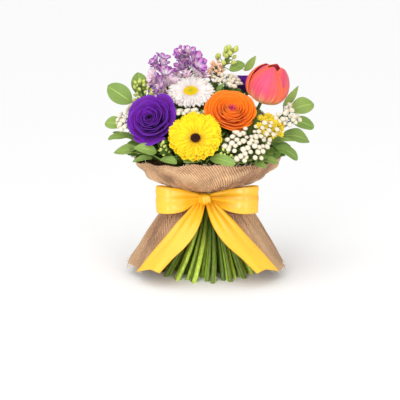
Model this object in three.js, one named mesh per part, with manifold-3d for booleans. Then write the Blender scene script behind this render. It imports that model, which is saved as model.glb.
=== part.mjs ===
// A mixed flower bouquet, hand-tied and standing on its cut stems: gerberas, ranunculus, lisianthus, tulips,
// freesias and small filler sprays among leaves, in a burlap wrap with a satin bow. Millimetres, +Z up, the front
// towards -Y, origin on the surface it stands on, under the middle of the bouquet.
import * as THREE from "three";
import { mergeVertices } from "three/addons/utils/BufferGeometryUtils.js";
import Module from "manifold-3d";

const wasm = await Module();
wasm.setup();

// Driving dimensions.
const TIE_Z = 119.5; // height of the binding point
const WAIST_LOW = 110.5; // the stems stand upright and the wrap is pulled tight between these two heights
const WAIST_HIGH = 128.5;
const STEM_PITCH = 6; // distance between the rings of stems in the binding
const RING_COUNTS = [1, 6, 12, 16]; // stems in each ring, from the middle out
const RING_START = [0, -75, -165, -180]; // azimuth of each ring's first stem, in degrees
const FOOT_RADIUS = 70; // how far the outer ring's stems stand from the middle
const FOOT_TWIST = 16; // how far the stems turn round the middle from the tie to the foot, in degrees
const FLOWER_STEM = 3; // radius of a bloom's stem
const SPRAY_STEM = 2.6; // radius of a leafy stem or a filler's stem
const GAP = 0.35; // clearance between pieces that touch on the real thing
const BLADE = 0.8; // thickness of a petal or leaf
const RIBBON_WIDTH = 38;
const RIBBON_THICK = 1;
const CLOTH_THICK = 1.4;
const BUTTON = 4.2; // radius of the filler's round heads
const TWIG = 0.7; // radius of the stalk of a small floret
const FUNNEL = 26; // length of a freesia's funnel
const GOLDEN = 137.508; // angle between one floret and the next, in degrees

const V = (x, y, z) => new THREE.Vector3(x, y, z);
const DEGREE = Math.PI / 180;
const lerp = (a, b, t) => a + (b - a) * t;

function polar(radius, degrees, z) {
  return V(radius * Math.cos(degrees * DEGREE), radius * Math.sin(degrees * DEGREE), z);
}

// A seeded draw from 0 to 1, so that each build is the same.
function draws(seed) {
  let state = seed * 2654435761;
  return () => {
    state = (Math.imul(state ^ (state >>> 15), 2246822519) + 374761393) >>> 0;
    return state / 4294967296;
  };
}

// Solids.
function solidOf(geometry) {
  geometry.deleteAttribute("normal");
  geometry.deleteAttribute("uv");
  const merged = mergeVertices(geometry, 1e-3);
  return new wasm.Manifold(new wasm.Mesh({
    numProp: 3,
    vertProperties: merged.attributes.position.array,
    triVerts: new Uint32Array(merged.index.array),
  }));
}

function geometryOf(solid) {
  const mesh = solid.getMesh();
  const g = new THREE.BufferGeometry();
  g.setAttribute("position", new THREE.BufferAttribute(new Float32Array(mesh.vertProperties), 3));
  g.setIndex(new THREE.BufferAttribute(new Uint32Array(mesh.triVerts), 1));
  return g;
}

const fuse = (solids) => wasm.Manifold.union(solids);

// A closed plate: the top face's points and triangles, the same below it along each point's own direction, and
// a wall along the outline. Triangles and outline run anticlockwise seen from above.
function plate(points, triangles, outline, downs) {
  const n = points.length;
  const positions = [];
  points.forEach((p) => positions.push(p.x, p.y, p.z));
  points.forEach((p, i) => {
    const d = Array.isArray(downs) ? downs[i] : downs;
    positions.push(p.x + d.x, p.y + d.y, p.z + d.z);
  });
  const index = [];
  triangles.forEach(([a, b, c]) => index.push(a, b, c, n + a, n + c, n + b));
  outline.forEach((a, i) => {
    const b = outline[(i + 1) % outline.length];
    index.push(a, n + a, b, b, n + a, n + b);
  });
  const g = new THREE.BufferGeometry();
  g.setAttribute("position", new THREE.Float32BufferAttribute(positions, 3));
  g.setIndex(index);
  return solidOf(g);
}

// A plate of rows of points from root to tip. The first and last row may be one point. A row of several runs
// from its left edge to its right.
function rowsPlate(rows, downs) {
  const points = rows.flat();
  const starts = [];
  let count = 0;
  rows.forEach((row) => {
    starts.push(count);
    count += row.length;
  });
  const triangles = [];
  for (let r = 0; r + 1 < rows.length; r++) {
    const [a, b] = [starts[r], starts[r + 1]];
    const [na, nb] = [rows[r].length, rows[r + 1].length];
    if (na === 1) for (let i = 0; i + 1 < nb; i++) triangles.push([a, b + i + 1, b + i]);
    else if (nb === 1) for (let i = 0; i + 1 < na; i++) triangles.push([a + i, a + i + 1, b]);
    else
      for (let i = 0; i + 1 < na; i++) {
        triangles.push([a + i, a + i + 1, b + i + 1]);
        triangles.push([a + i, b + i + 1, b + i]);
      }
  }
  const outline = [];
  const last = rows.length - 1;
  for (let i = 0; i < rows[0].length; i++) outline.push(starts[0] + i);
  for (let r = 1; r < last; r++) outline.push(starts[r] + rows[r].length - 1);
  for (let i = rows[last].length - 1; i >= 0; i--) outline.push(starts[last] + i);
  for (let r = last - 1; r > 0; r--) outline.push(starts[r]);
  return plate(points, triangles, outline, downs);
}

// A smooth curve that is cut into steps at its own points.
class StationCurve extends THREE.CatmullRomCurve3 {
  getPointAt(u, target) {
    return this.getPoint(u, target);
  }

  getTangentAt(u, target) {
    return this.getTangent(u, target);
  }
}

// A tube along a smooth curve through the points, straight from each to the next. One edge of its section lies
// `turn` round from the curve's normal.
function tube(points, radius, sides, turn = 0) {
  const corners = Array.from({ length: sides }, (_, i) => turn + (2 * Math.PI * i) / sides);
  const section = new THREE.Shape(corners.map((angle) => (
    new THREE.Vector2(radius * Math.cos(angle), radius * Math.sin(angle))
  )));
  const path = points.length > 2 ? new StationCurve(points) : new THREE.LineCurve3(...points);
  const options = { steps: points.length - 1, extrudePath: path, bevelEnabled: false };
  return solidOf(new THREE.ExtrudeGeometry(section, options));
}

// A solid turned round +Z: a profile of [radius, height] pairs that starts and ends on the axis.
function turned(profile, sides) {
  return solidOf(new THREE.LatheGeometry(profile.map(([r, z]) => new THREE.Vector2(r, z)), sides)
    .rotateX(Math.PI / 2));
}

// The matrix that puts a local +Z along an axis at a point, turned about that axis.
function placing(at, axis, turn = 0) {
  const q = new THREE.Quaternion().setFromUnitVectors(V(0, 0, 1), axis.clone().normalize());
  const spin = new THREE.Quaternion().setFromAxisAngle(V(0, 0, 1), turn * DEGREE);
  return new THREE.Matrix4().compose(at, q.multiply(spin), V(1, 1, 1));
}

const moved = (solid, matrix) => solid.transform(matrix.elements);

// Stems. They stand upright side by side in rings where they are tied, and spread below and above it like a
// sheaf.
const RING_RADII = RING_COUNTS.map((_, ring) => ring * STEM_PITCH);
const FOOT_SPREAD = FOOT_RADIUS / RING_RADII[3]; // how much wider the bundle is at the foot than at the tie
const FOOT_CURVE = 1.25; // above 1, the stems are upright at the tie and lean out below it
const STATIONS = [-9, 50, WAIST_LOW, WAIST_HIGH]; // heights of a stem's lower points

function slotAt(ring, index, z) {
  const t = Math.max(0, (WAIST_LOW - z) / WAIST_LOW);
  const spread = 1 + (FOOT_SPREAD - 1) * t ** FOOT_CURVE;
  const azimuth = RING_START[ring] + (360 * index) / RING_COUNTS[ring] - FOOT_TWIST * t;
  return polar(RING_RADII[ring] * spread, azimuth, z);
}

// The points of a stem: from the foot up through the tie, then bending over to arrive at the head along its
// axis.
function stemLine({ ring, index, head, axis }) {
  const low = STATIONS.map((z) => slotAt(ring, index, z));
  const start = low.at(-1);
  const end = V(...head);
  const reach = start.distanceTo(end);
  const rise = start.clone().add(V(0, 0, 0.33 * reach));
  const arrive = end.clone().addScaledVector(V(...axis).normalize(), -0.36 * reach);
  return [...low, ...new THREE.CubicBezierCurve3(start, rise, arrive, end).getPoints(3).slice(1)];
}

// Its foot is cut level with the surface it stands on, and an edge faces out of the bundle at the tie.
function stemSolid(line, radius, sides) {
  const tie = 2;
  const { normals, binormals } = new StationCurve(line).computeFrenetFrames(line.length - 1, false);
  const out = line[tie].clone().setZ(0);
  const turn = Math.atan2(out.dot(binormals[tie]), out.dot(normals[tie]));
  return tube(line, radius, sides, turn).trimByPlane([0, 0, 1], 0);
}

// The point of a stem nearest to a place, where the stalk to it leaves.
function nearestOn(line, place) {
  const spots = line.slice(1).map((p, i) => (
    new THREE.Line3(line[i], p).closestPointToPoint(place, true, V(0, 0, 0))
  ));
  return spots.reduce((best, p) => (p.distanceTo(place) < best.distanceTo(place) ? p : best));
}

// A leaf from its base to its tip, with its face towards `face`: a broad, oval or pointed blade, folded a little
// along the rib and arched by `arch`. Its stalk is a narrow strip that starts at `root`, inside the stem.
const BROAD = [[0.16, 0.66], [0.5, 1], [0.84, 0.7]];
const OVAL = [[0.28, 0.94], [0.7, 0.9]];
const POINTED = [[0.2, 0.7], [0.6, 0.76]];
const STALK_WIDTH = 2;

function leaf({ root, base, tip, width, face, arch = 0.1, shape = width > 20 ? BROAD : OVAL }) {
  const along = tip.clone().sub(base);
  const length = along.length();
  along.normalize();
  const up = V(...face).addScaledVector(along, -V(...face).dot(along)).normalize();
  const side = along.clone().cross(up);
  const at = (t, across) => base.clone()
    .addScaledVector(along, t * length)
    .addScaledVector(side, (across * width) / 2)
    .addScaledVector(up, arch * length * Math.sin(Math.PI * t) + 0.07 * width * Math.abs(across));
  const narrow = STALK_WIDTH / width;
  const stalkSide = base.clone().sub(root).normalize().cross(up).add(side).normalize();
  const stalkUp = stalkSide.clone().cross(base.clone().sub(root)).normalize();
  const start = [-0.5, 0, 0.5].map((k) => root.clone().addScaledVector(stalkSide, k * STALK_WIDTH));
  const rows = [start, [-narrow, 0, narrow].map((w) => at(0, w)),
    ...shape.map(([t, w]) => [at(t, -w), at(t, 0), at(t, w)]), [at(1, 0)]];
  const downs = rows.flatMap((row, k) => row.map(() => (k ? up : stalkUp).clone().multiplyScalar(-BLADE)));
  return rowsPlate(rows, downs);
}

// The thin stalk that carries a floret or bud, sunk into both.
function stalk(from, to, radius) {
  const way = to.clone().sub(from).normalize();
  return tube([from, to.clone().addScaledVector(way, 0.8)], radius, 3);
}

// A cupped petal round +Z. `profile` gives [radius, height, half angle] rows from root to rim; the petal's left
// edge lies `skew` further out than the middle and its right edge as much further in, so that neighbours overlap
// freely.
function cupPetal(profile, azimuth, skew, across, thick = BLADE) {
  const normals = [];
  const rows = profile.map(([radius, z, half], k) => {
    const before = profile[Math.max(0, k - 1)];
    const after = profile[Math.min(profile.length - 1, k + 1)];
    const run = Math.hypot(after[0] - before[0], after[1] - before[1]);
    const [outward, down] = [(after[1] - before[1]) / run, -(after[0] - before[0]) / run];
    const count = half > 0 ? across : 1;
    return Array.from({ length: count }, (_, i) => {
      const side = count > 1 ? 1 - (2 * i) / (count - 1) : 0;
      const angle = azimuth + side * half;
      const drop = 0.06 * radius * side * side;
      normals.push(polar(outward * thick, angle, down * thick));
      return polar(radius + skew * side, angle, z - drop);
    });
  });
  return rowsPlate(rows, normals);
}

function whorl(profile, count, start, skew, across) {
  const turn = (k) => start + (360 * k) / count;
  return Array.from({ length: count }, (_, k) => cupPetal(profile, turn(k), skew, across));
}

// One layer of a daisy-like head round +Z: petals with two shoulders and a tip round a hub. There are three
// petals to each corner of the hub.
const HUB = 0.2; // the hub's radius, as a share of the layer's
const NOTCH = 0.46; // where two petals part

const rayHeight = (share, lift) => lift * share ** 1.5;

function rayLayer(count, radius, lift, start) {
  const corners = count / 3;
  const step = 360 / count;
  const at = (share, angle, drop = 0) => polar(share * radius, angle, rayHeight(share, lift) - drop);
  const points = Array.from({ length: corners }, (_, j) => at(HUB, start + (3 * j + 1) * step));
  const triangles = Array.from({ length: corners - 2 }, (_, j) => [0, j + 1, j + 2]);
  const outline = [];
  for (let k = 0; k < count; k++) {
    const mid = start + k * step;
    const notch = corners + 4 * k;
    const next = k + 1 < count ? notch + 4 : corners;
    const [right, tip, left] = [notch + 1, notch + 2, notch + 3];
    points.push(at(NOTCH, mid - step / 2), at(0.85, mid - 0.42 * step, 0.6), at(1, mid),
      at(0.85, mid + 0.42 * step, 0.6));
    const hub = Math.floor(k / 3);
    triangles.push([hub, notch, next], [notch, right, left], [notch, left, next], [right, tip, left]);
    if (k % 3 === 2) triangles.push([hub, next, (hub + 1) % corners]);
    outline.push(notch, right, tip, left);
  }
  return plate(points, triangles, outline, V(0, 0, -BLADE - 0.2));
}

// Blooms, each round +Z with its rim near height 0.
const RAYS = { outerLift: 0.22, outerDrop: 0.22, innerSize: 0.74, innerLift: 0.22, innerDrop: 0.15 };

function gerberaHead(radius, outer, inner) {
  const { outerLift, outerDrop, innerSize, innerLift, innerDrop } = RAYS;
  const top = (rayHeight(HUB, innerLift) - innerDrop) * radius - 0.5;
  return fuse([
    rayLayer(outer, radius, outerLift * radius, 0).translate(0, 0, -outerDrop * radius),
    rayLayer(inner, innerSize * radius, innerLift * radius, 180 / outer)
      .translate(0, 0, -innerDrop * radius),
    turned([[0, -0.3 * radius], [0.1 * radius, -0.27 * radius], [0.09 * radius, top], [0, top]], 5),
  ]);
}

// The disc in the middle of a daisy-like head, just above its inner petals.
function gerberaEye(radius, eye, height) {
  const { innerLift, innerDrop } = RAYS;
  const above = (share) => (rayHeight(share, innerLift) - innerDrop) * radius + GAP;
  return turned([[0, above(HUB)], [eye, above(NOTCH)], [0.92 * eye, height], [0, 0.7 * height]], 8);
}

function ranunculusHead(radius, depth, petals = [5, 5, 4]) {
  const at = (r, z, half) => [r * radius, z * depth, half];
  const span = (count, share) => (360 / count) * share;
  const [outer, middle, inner] = petals;
  const layers = [
    [outer, 0, 3, [at(0.08, -1, 0), at(0.5, -0.86, span(outer, 0.46)), at(0.86, -0.44, span(outer, 0.6)),
      at(1, 0, span(outer, 0.46))]],
    [middle, 36, 2.6, [at(0.08, -0.84, 0), at(0.6, -0.4, span(middle, 0.58)),
      at(0.74, 0.16, span(middle, 0.44))]],
    [inner, 10, 2.2, [at(0.06, -0.66, 0), at(0.36, -0.3, span(inner, 0.54)),
      at(0.4, 0.2, span(inner, 0.42))]],
  ];
  const core = turned([[0, -1.06 * depth], [0.17 * radius, -0.96 * depth], [0.17 * radius, -0.5 * depth],
    [0, 0.1 * depth]], 6);
  const whorls = layers.flatMap(([count, start, skew, profile]) => whorl(profile, count, start, skew, 3));
  return fuse([core, ...whorls]);
}

function tulipHead(radius, length) {
  const at = (r, z, half) => [r * radius, z * length, half];
  const core = turned([[0, -0.02 * length], [0.2 * radius, 0.01 * length], [0.16 * radius, 0.12 * length],
    [0, 0.2 * length]], 6);
  const outer = [at(0.06, 0, 0), at(0.7, 0.12, 48), at(1, 0.46, 56), at(0.84, 0.8, 40), at(0.6, 0.99, 0)];
  const inner = [at(0.06, 0.04, 0), at(0.6, 0.2, 42), at(0.82, 0.55, 50), at(0.58, 0.9, 26), at(0.42, 1, 0)];
  return fuse([...whorl(outer, 3, -90, 0, 5), ...whorl(inner, 3, -30, 0, 3), core]);
}

// A funnel of five flaring lobes round +Z, from its root at height 0.
function funnelFloret(length, radius) {
  const lobes = 5;
  const ring = (r, z) => Array.from({ length: lobes }, (_, k) => polar(r, (360 * k) / lobes, z));
  const rim = Array.from({ length: lobes }, (_, k) => [
    polar(0.56 * radius, (360 * k) / lobes, 0.86 * length),
    polar(radius, (360 * (k + 0.5)) / lobes, length),
  ]);
  const points = [V(0, 0, 0), ...ring(0.18 * radius, 0.28 * length), ...ring(0.42 * radius, 0.66 * length),
    ...rim.flat(), V(0, 0, 0.5 * length)];
  const throat = points.length - 1;
  const index = [];
  for (let k = 0; k < lobes; k++) {
    const next = (k + 1) % lobes;
    const [low, high, notch] = [1 + k, 1 + lobes + k, 1 + 2 * lobes + 2 * k];
    const [lowNext, highNext, notchNext] = [1 + next, 1 + lobes + next, 1 + 2 * lobes + 2 * next];
    const tip = notch + 1;
    index.push(0, lowNext, low, low, lowNext, highNext, low, highNext, high);
    index.push(high, highNext, tip, high, tip, notch, highNext, notchNext, tip);
    index.push(notch, tip, throat, tip, notchNext, throat);
  }
  const g = new THREE.BufferGeometry().setFromPoints(points);
  g.setIndex(index);
  return solidOf(g);
}

const button = (radius) => turned([[0, -0.42 * radius], [0.72 * radius, -0.42 * radius],
  [radius, 0.06 * radius], [0, 0.46 * radius]], 5);
const bud = (radius, length) => turned([[0, 0], [radius, 0.42 * length], [0, length]], 5);
const puff = (radius) => turned([[0, -radius], [radius, 0], [0, radius]], 4);

// The arrangement. A piece is kept with its solid in world space, so that small florets can be left out where
// a bloom or leaf already fills their place.
const bouquet = new THREE.Group();
const placed = [];

const COLOURS = {
  stem: [0x4f7d2b, 0.55],
  leaf: [0x6f9a52, 0.6],
  gerbera_yellow: [0xf9d81c, 0.6],
  gerbera_white: [0xf6f1ea, 0.6],
  gerbera_eye: [0x4a2a16, 0.85],
  daisy_eye: [0xf0c818, 0.8],
  purple: [0x4b1a8c, 0.6],
  orange: [0xf57a14, 0.55],
  tulip: [0xee5f6b, 0.45],
  freesia: [0x9a63c0, 0.55],
  button: [0xf3efe2, 0.7],
  yellow_filler: [0xe3c81c, 0.8],
  bud: [0xc3cf5a, 0.6],
  peach: [0xf0b48a, 0.6],
  burlap: [0xb99670, 0.95],
  satin: [0xf6bf24, 0.35],
  twine: [0xa98b5d, 0.9],
};
const materials = Object.fromEntries(Object.entries(COLOURS).map(([name, [color, roughness]]) => [
  name, new THREE.MeshStandardMaterial({ name, color, roughness, metalness: 0 }),
]));

function add(name, solid, material, matrix = new THREE.Matrix4()) {
  const mesh = new THREE.Mesh(geometryOf(solid), materials[material]);
  mesh.name = name;
  matrix.decompose(mesh.position, mesh.quaternion, mesh.scale);
  bouquet.add(mesh);
  placed.push({ name, solid: moved(solid, matrix) });
}

function isClear(solid) {
  const box = solid.boundingBox();
  return placed.every((other) => {
    const theirs = other.box ??= other.solid.boundingBox();
    const apart = [0, 1, 2].some((k) => box.min[k] > theirs.max[k] + GAP || box.max[k] < theirs.min[k] - GAP);
    return apart || solid.minGap(other.solid, GAP) >= GAP;
  });
}

// A stem that forks into stalks with a floret at the end of each. `twigs` are pairs of points: where a stalk
// leaves the stem and where its floret sits. A floret that isn't clear of what is already placed is left out with
// its stalk.
function addSpray(name, material, place, { twigs, floret, extras = [] }) {
  const line = stemLine(place);
  const solids = [stemSolid(line, SPRAY_STEM, 4), ...extras];
  for (const [leave, to] of twigs) {
    const from = nearestOn(line, leave);
    const piece = fuse([stalk(from, to, TWIG), moved(floret, placing(to, to.clone().sub(from)))]);
    if (isClear(piece)) solids.push(piece);
  }
  add(name, fuse(solids), material);
}

// Twigs that spread over a domed oval patch like the seeds of a sunflower, the outer ones from lower on the
// stem.
function umbel({ head, axis, centre, wide, high, count, seed }) {
  const draw = draws(seed);
  const way = V(...axis).normalize();
  const upright = placing(V(0, 0, 0), way);
  return Array.from({ length: count }, (_, k) => {
    const share = Math.sqrt((k + 0.5) / count);
    const local = polar(share, GOLDEN * k + 24 * (draw() - 0.5), 0);
    local.set(local.x * wide, local.y * high, 0.28 * high * (1 - share * share) + 3 * (draw() - 0.5));
    const to = local.applyMatrix4(upright).add(V(...centre));
    return [V(...head).addScaledVector(way, -1 - 1.5 * k), to];
  });
}

// Twigs that stand off the upper length of a stem all round, in a spiral, shorter towards its tip.
function spike({ head, axis, length, spread, count, seed }) {
  const draw = draws(seed);
  const way = V(...axis).normalize();
  const upright = placing(V(0, 0, 0), way);
  return Array.from({ length: count }, (_, k) => {
    const share = k / (count - 1);
    const from = V(...head).addScaledVector(way, -length * (1 - share));
    const reach = spread * (1 - 0.7 * share) * (0.85 + 0.3 * draw());
    const to = polar(reach, GOLDEN * k, 0.7 * reach + 1.5).applyMatrix4(upright).add(from);
    return [from, to];
  });
}

// Leaves whose stalks start at the nearest point of their stem.
function leafSolids(place, leaves) {
  const line = stemLine(place);
  return leaves.map(({ base, tip, ...rest }) => {
    const foot = V(...base);
    return leaf({ ...rest, root: nearestOn(line, foot), base: foot, tip: V(...tip) });
  });
}

function addLeafyStem(name, place, leaves) {
  add(name, fuse([stemSolid(stemLine(place), SPRAY_STEM, 4), ...leafSolids(place, leaves)]), "leaf");
}

// A freesia: funnels whose roots sit on the stem and whose mouths open at the places given.
function addFreesia(name, place, mouths) {
  const line = stemLine(place);
  const solids = [stemSolid(line, SPRAY_STEM, 4)];
  for (const [x, y, z, radius] of mouths) {
    const mouth = V(x, y, z);
    const leave = nearestOn(line, mouth.clone().add(V(0, 0, -0.7 * FUNNEL)));
    const root = leave.clone().addScaledVector(mouth.clone().sub(leave).normalize(), -SPRAY_STEM);
    const way = mouth.clone().sub(root);
    solids.push(moved(funnelFloret(way.length(), radius), placing(root, way)));
  }
  add(name, fuse(solids), "freesia");
}

// Wrap, ribbon and binding, which the stems pass through.
const WAIST_RADIUS = 25.4; // inside of the wrap there
const HEM_RADIUS = 116;
const HEM_Z = 15;
const RIM_RADIUS = 106;
const RIM_Z = 179;
const SKIRT_SLOPE = 0.69; // share of the skirt's width that it gains evenly on the way down
const FLARE = 0.045; // how quickly it gains the rest, just below the tie

const skirtShare = (w) => SKIRT_SLOPE * w + (1 - SKIRT_SLOPE) * (1 - Math.exp(-w / FLARE));

// The wrap's shape without its folds: [radius, height] for v from -1 at the hem, 0 at the waist, to 1 at the
// rim.
function wrapProfile(v) {
  if (v < 0) {
    return [lerp(WAIST_RADIUS, HEM_RADIUS, skirtShare(-v)), lerp(WAIST_LOW, HEM_Z, -v)];
  }
  const sine = Math.sin((v * Math.PI) / 2);
  const rise = 0.2 * sine + 0.8 * (1 - Math.sqrt(Math.max(0, 1 - sine * sine)));
  return [lerp(WAIST_RADIUS, RIM_RADIUS, sine), lerp(WAIST_HIGH, RIM_Z, rise)];
}

// Where the sheet's two side edges lie at each level, in degrees: at the hem they stand apart at the front, and
// at the rim the end overlaps the start.
const EDGES = [[-1, -35, 215], [0, -72, 262], [1, -100, 312]];

function wrapEdges(v) {
  const [low, mid, high] = EDGES;
  const [from, to] = v < 0 ? [mid, low] : [mid, high];
  const t = Math.abs(v);
  return [lerp(from[1], to[1], t), lerp(from[2], to[2], t)];
}

const FOLDS = 7;

function wrapPoint(u, v) {
  const [start, end] = wrapEdges(v);
  const azimuth = lerp(start, end, u);
  const [radius, z] = wrapProfile(v);
  const depth = (v < 0 ? 5 : 3.4) * Math.abs(v) ** 0.8 * Math.sin(Math.PI * u) ** 0.5;
  const over = 3.4 * THREE.MathUtils.smoothstep(u, 0.62, 0.86) * THREE.MathUtils.smoothstep(v, 0, 0.3);
  const wave = depth * Math.sin(FOLDS * azimuth * DEGREE + 2 * v);
  const lift = v > 0 ? 3 * v * v * Math.sin(3 * azimuth * DEGREE) : 0;
  return polar(radius + wave + over, azimuth, z + lift);
}

const WRAP_LEVELS = [-1, -0.5, -0.08, -1e-6, 0, 0.32, 0.64, 1];
const WRAP_COLUMNS = 28;

function wrap() {
  const columns = Array.from({ length: WRAP_COLUMNS + 1 }, (_, i) => i / WRAP_COLUMNS);
  const rows = WRAP_LEVELS.map((v) => columns.map((u) => wrapPoint(u, v)));
  const downs = WRAP_LEVELS.map((v, r) => {
    const before = wrapProfile(WRAP_LEVELS[Math.max(0, r - 1)]);
    const after = wrapProfile(WRAP_LEVELS[Math.min(WRAP_LEVELS.length - 1, r + 1)]);
    const [run, rise] = [after[0] - before[0], after[1] - before[1]];
    const thick = CLOTH_THICK / Math.hypot(run, rise);
    const [start, end] = wrapEdges(v);
    return columns.map((u) => polar(rise * thick, lerp(start, end, u), -run * thick));
  });
  // Seen from inside, azimuth grows to the left, so each row is turned round.
  return rowsPlate(rows.map((row) => row.reverse()), downs.flatMap((row) => row.reverse()));
}

// A ribbon along a line of [x, y, z, half width]: its flat width stands at right angles to the line, nearest to
// the direction `across`. `cut` tells how much further the end reaches at its first edge, middle and last edge.
function strip(line, across, cut = [0, 0, 0]) {
  const curve = new THREE.CatmullRomCurve3(line.map(([x, y, z]) => V(x, y, z)));
  const count = line.length;
  const downs = [];
  const rows = line.map(([, , , half], k) => {
    const at = curve.getPoint(k / (count - 1));
    const along = curve.getTangent(k / (count - 1));
    const side = across(at, k / (count - 1)).clone();
    side.addScaledVector(along, -side.dot(along)).normalize();
    const normal = side.clone().cross(along).normalize();
    const extra = k === count - 1 ? cut : [0, 0, 0];
    const row = [-1, 0, 1].map((s, i) => at.clone()
      .addScaledVector(side, s * half)
      .addScaledVector(along, extra[i]));
    row.forEach(() => downs.push(normal.clone().multiplyScalar(-RIBBON_THICK)));
    return row;
  });
  return rowsPlate(rows, downs);
}

const KNOT = V(-3, -36.5, TIE_Z - 0.5);
const HALF = RIBBON_WIDTH / 2;

// One side's loop, seen from above: out along the front, round the end and back behind.
function bowLoop(side) {
  const line = [[3, -39, 6, 0], [19, -46, 9, 1], [38, -59, 15, 2], [58, -63, HALF, 2.5], [71, -58, HALF, 2.5],
    [73, -51, HALF, 2.5], [62, -49, HALF, 2.5], [32, -47.5, 12, 1.5], [3, -36, 5.5, 0]];
  const reach = side < 0 ? 0.95 : 1.02;
  const points = line.map(([x, y, half, rise]) => [KNOT.x + side * reach * x, y, KNOT.z + rise, half]);
  return strip(points, () => V(0, 0, 1));
}

// One side's tail: from the knot down over the wrap's front edge, spreading from gathered to flat. Its end is cut
// level with a shallow notch.
function bowTail(side) {
  const line = [[-97, 117.5, 5, 38], [-100, 109.5, 9, 53], [-107, 91, 16, 72], [-115, 70, HALF, 87],
    [-124, 48, HALF, 103], [-131, 28, HALF, 117]];
  const reach = side < 0 ? 1.14 : 1.04;
  const points = line.map(([azimuth, z, half, radius]) => {
    const at = polar(radius, azimuth, z);
    return [side * reach * at.x + KNOT.x, at.y, at.z, half];
  });
  return strip(points, (at) => V(-at.y, at.x, 0).multiplyScalar(-side), [-10, -4, 13]);
}

function ribbonBow() {
  const [inside, outside] = [WAIST_RADIUS + 2.5, WAIST_RADIUS + 3.7];
  const [low, high] = [TIE_Z - 6.5, TIE_Z + 6.5];
  const band = turned([[inside, low], [outside, low], [outside, high], [inside, high], [inside, low]], 16);
  const knot = turned([[0, -7.5], [7, -7.5], [9, 0], [7, 7.5], [0, 7.5]], 8)
    .translate(KNOT.x, KNOT.y, KNOT.z);
  return fuse([band, knot, bowLoop(-1), bowLoop(1), bowTail(-1), bowTail(1)]);
}

// Turns of string round the stems, under the wrap.
const BINDING_SIDES = 16;
const TWINE = 3;

function binding() {
  const radius = (RING_RADII[3] + FLOWER_STEM + GAP) / Math.cos(Math.PI / BINDING_SIDES);
  const bump = (z) => [radius + TWINE, TIE_Z + z];
  const dip = (z) => [radius + 0.75 * TWINE, TIE_Z + z];
  const low = [radius, TIE_Z - 4];
  const high = [radius, TIE_Z + 4];
  return turned([low, bump(-3.4), dip(-1.6), bump(0), dip(1.6), bump(3.4), high, low], BINDING_SIDES)
    .rotate([0, 0, 180 / BINDING_SIDES]);
}

// Blooms. `centre` is the middle of the rim and `faces` is where the bloom looks; for a tulip they are the foot of
// the bloom and its axis.
const BLOOMS = [
  { name: "white_gerbera_front", kind: "white_gerbera", ring: 0, index: 0, centre: [-24, -22, 276],
    faces: [-0.05, -0.55, 0.83], radius: 35, eye: 11 },
  { name: "orange_ranunculus_front", kind: "orange_ranunculus", ring: 1, index: 0, centre: [35, -58, 253.5],
    faces: [0.1, -0.7, 0.7], radius: 34.5, depth: 22 },
  { name: "purple_lisianthus_left", kind: "purple_lisianthus", ring: 2, index: 1, centre: [-82, -61.5, 241.5],
    faces: [-0.28, -0.78, 0.55], radius: 35, depth: 24 },
  { name: "yellow_gerbera_front", kind: "yellow_gerbera", ring: 2, index: 2, centre: [-17, -92, 218],
    faces: [-0.07, -0.8, 0.6], radius: 40, eye: 7 },
  { name: "tulip_right", kind: "tulip", ring: 2, index: 5, centre: [78, -30, 261], faces: [0.36, -0.15, 0.92],
    radius: 30, length: 56 },
  { name: "purple_lisianthus_back", kind: "purple_lisianthus", ring: 2, index: 6, centre: [62, 32, 287],
    faces: [0.12, -0.12, 0.98], radius: 27, depth: 22, petals: [5, 4, 3] },
  { name: "white_gerbera_back", kind: "white_gerbera", ring: 2, index: 7, centre: [68, 68, 230],
    faces: [0.52, 0.52, 0.68], radius: 34, eye: 11 },
  { name: "tulip_back", kind: "tulip", ring: 2, index: 9, centre: [-12, 40, 224], faces: [-0.08, 0.16, 0.98],
    radius: 20, length: 50 },
  { name: "orange_ranunculus_back", kind: "orange_ranunculus", ring: 2, index: 10, centre: [-68, 60, 232],
    faces: [-0.5, 0.5, 0.7], radius: 32, depth: 22, petals: [5, 4, 3] },
  { name: "yellow_gerbera_back", kind: "yellow_gerbera", ring: 3, index: 12, centre: [-4, 92, 218],
    faces: [-0.03, 0.76, 0.65], radius: 38, eye: 7 },
];

// What each kind of bloom is made of: [its head, how far below `centre` the stem ends, material].
const doubled = ({ radius, depth, petals }, colour) => [
  ranunculusHead(radius, depth, petals), 1.06 * depth, colour,
];
const KINDS = {
  white_gerbera: ({ radius }) => [gerberaHead(radius, 18, 12), 0.3 * radius, "gerbera_white"],
  yellow_gerbera: ({ radius }) => [gerberaHead(radius, 15, 12), 0.3 * radius, "gerbera_yellow"],
  orange_ranunculus: (bloom) => doubled(bloom, "orange"),
  purple_lisianthus: (bloom) => doubled(bloom, "purple"),
  tulip: ({ radius, length }) => [tulipHead(radius, length), 0.02 * length, "tulip"],
};

function addBloom(bloom) {
  const axis = V(...bloom.faces).normalize();
  const centre = V(...bloom.centre);
  const [head, below, material] = KINDS[bloom.kind](bloom);
  const matrix = placing(centre, axis);
  add(bloom.name, head, material, matrix);
  if (bloom.eye) {
    const colour = bloom.kind === "white_gerbera" ? "daisy_eye" : "gerbera_eye";
    add(`${bloom.name}_eye`, gerberaEye(bloom.radius, bloom.eye, 0), colour, matrix);
  }
  const end = centre.clone().addScaledVector(axis, -below - GAP - 0.1);
  const line = stemLine({ ...bloom, head: end, axis: bloom.faces });
  add(`${bloom.name}_stem`, stemSolid(line, FLOWER_STEM, 5), "stem");
}

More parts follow.
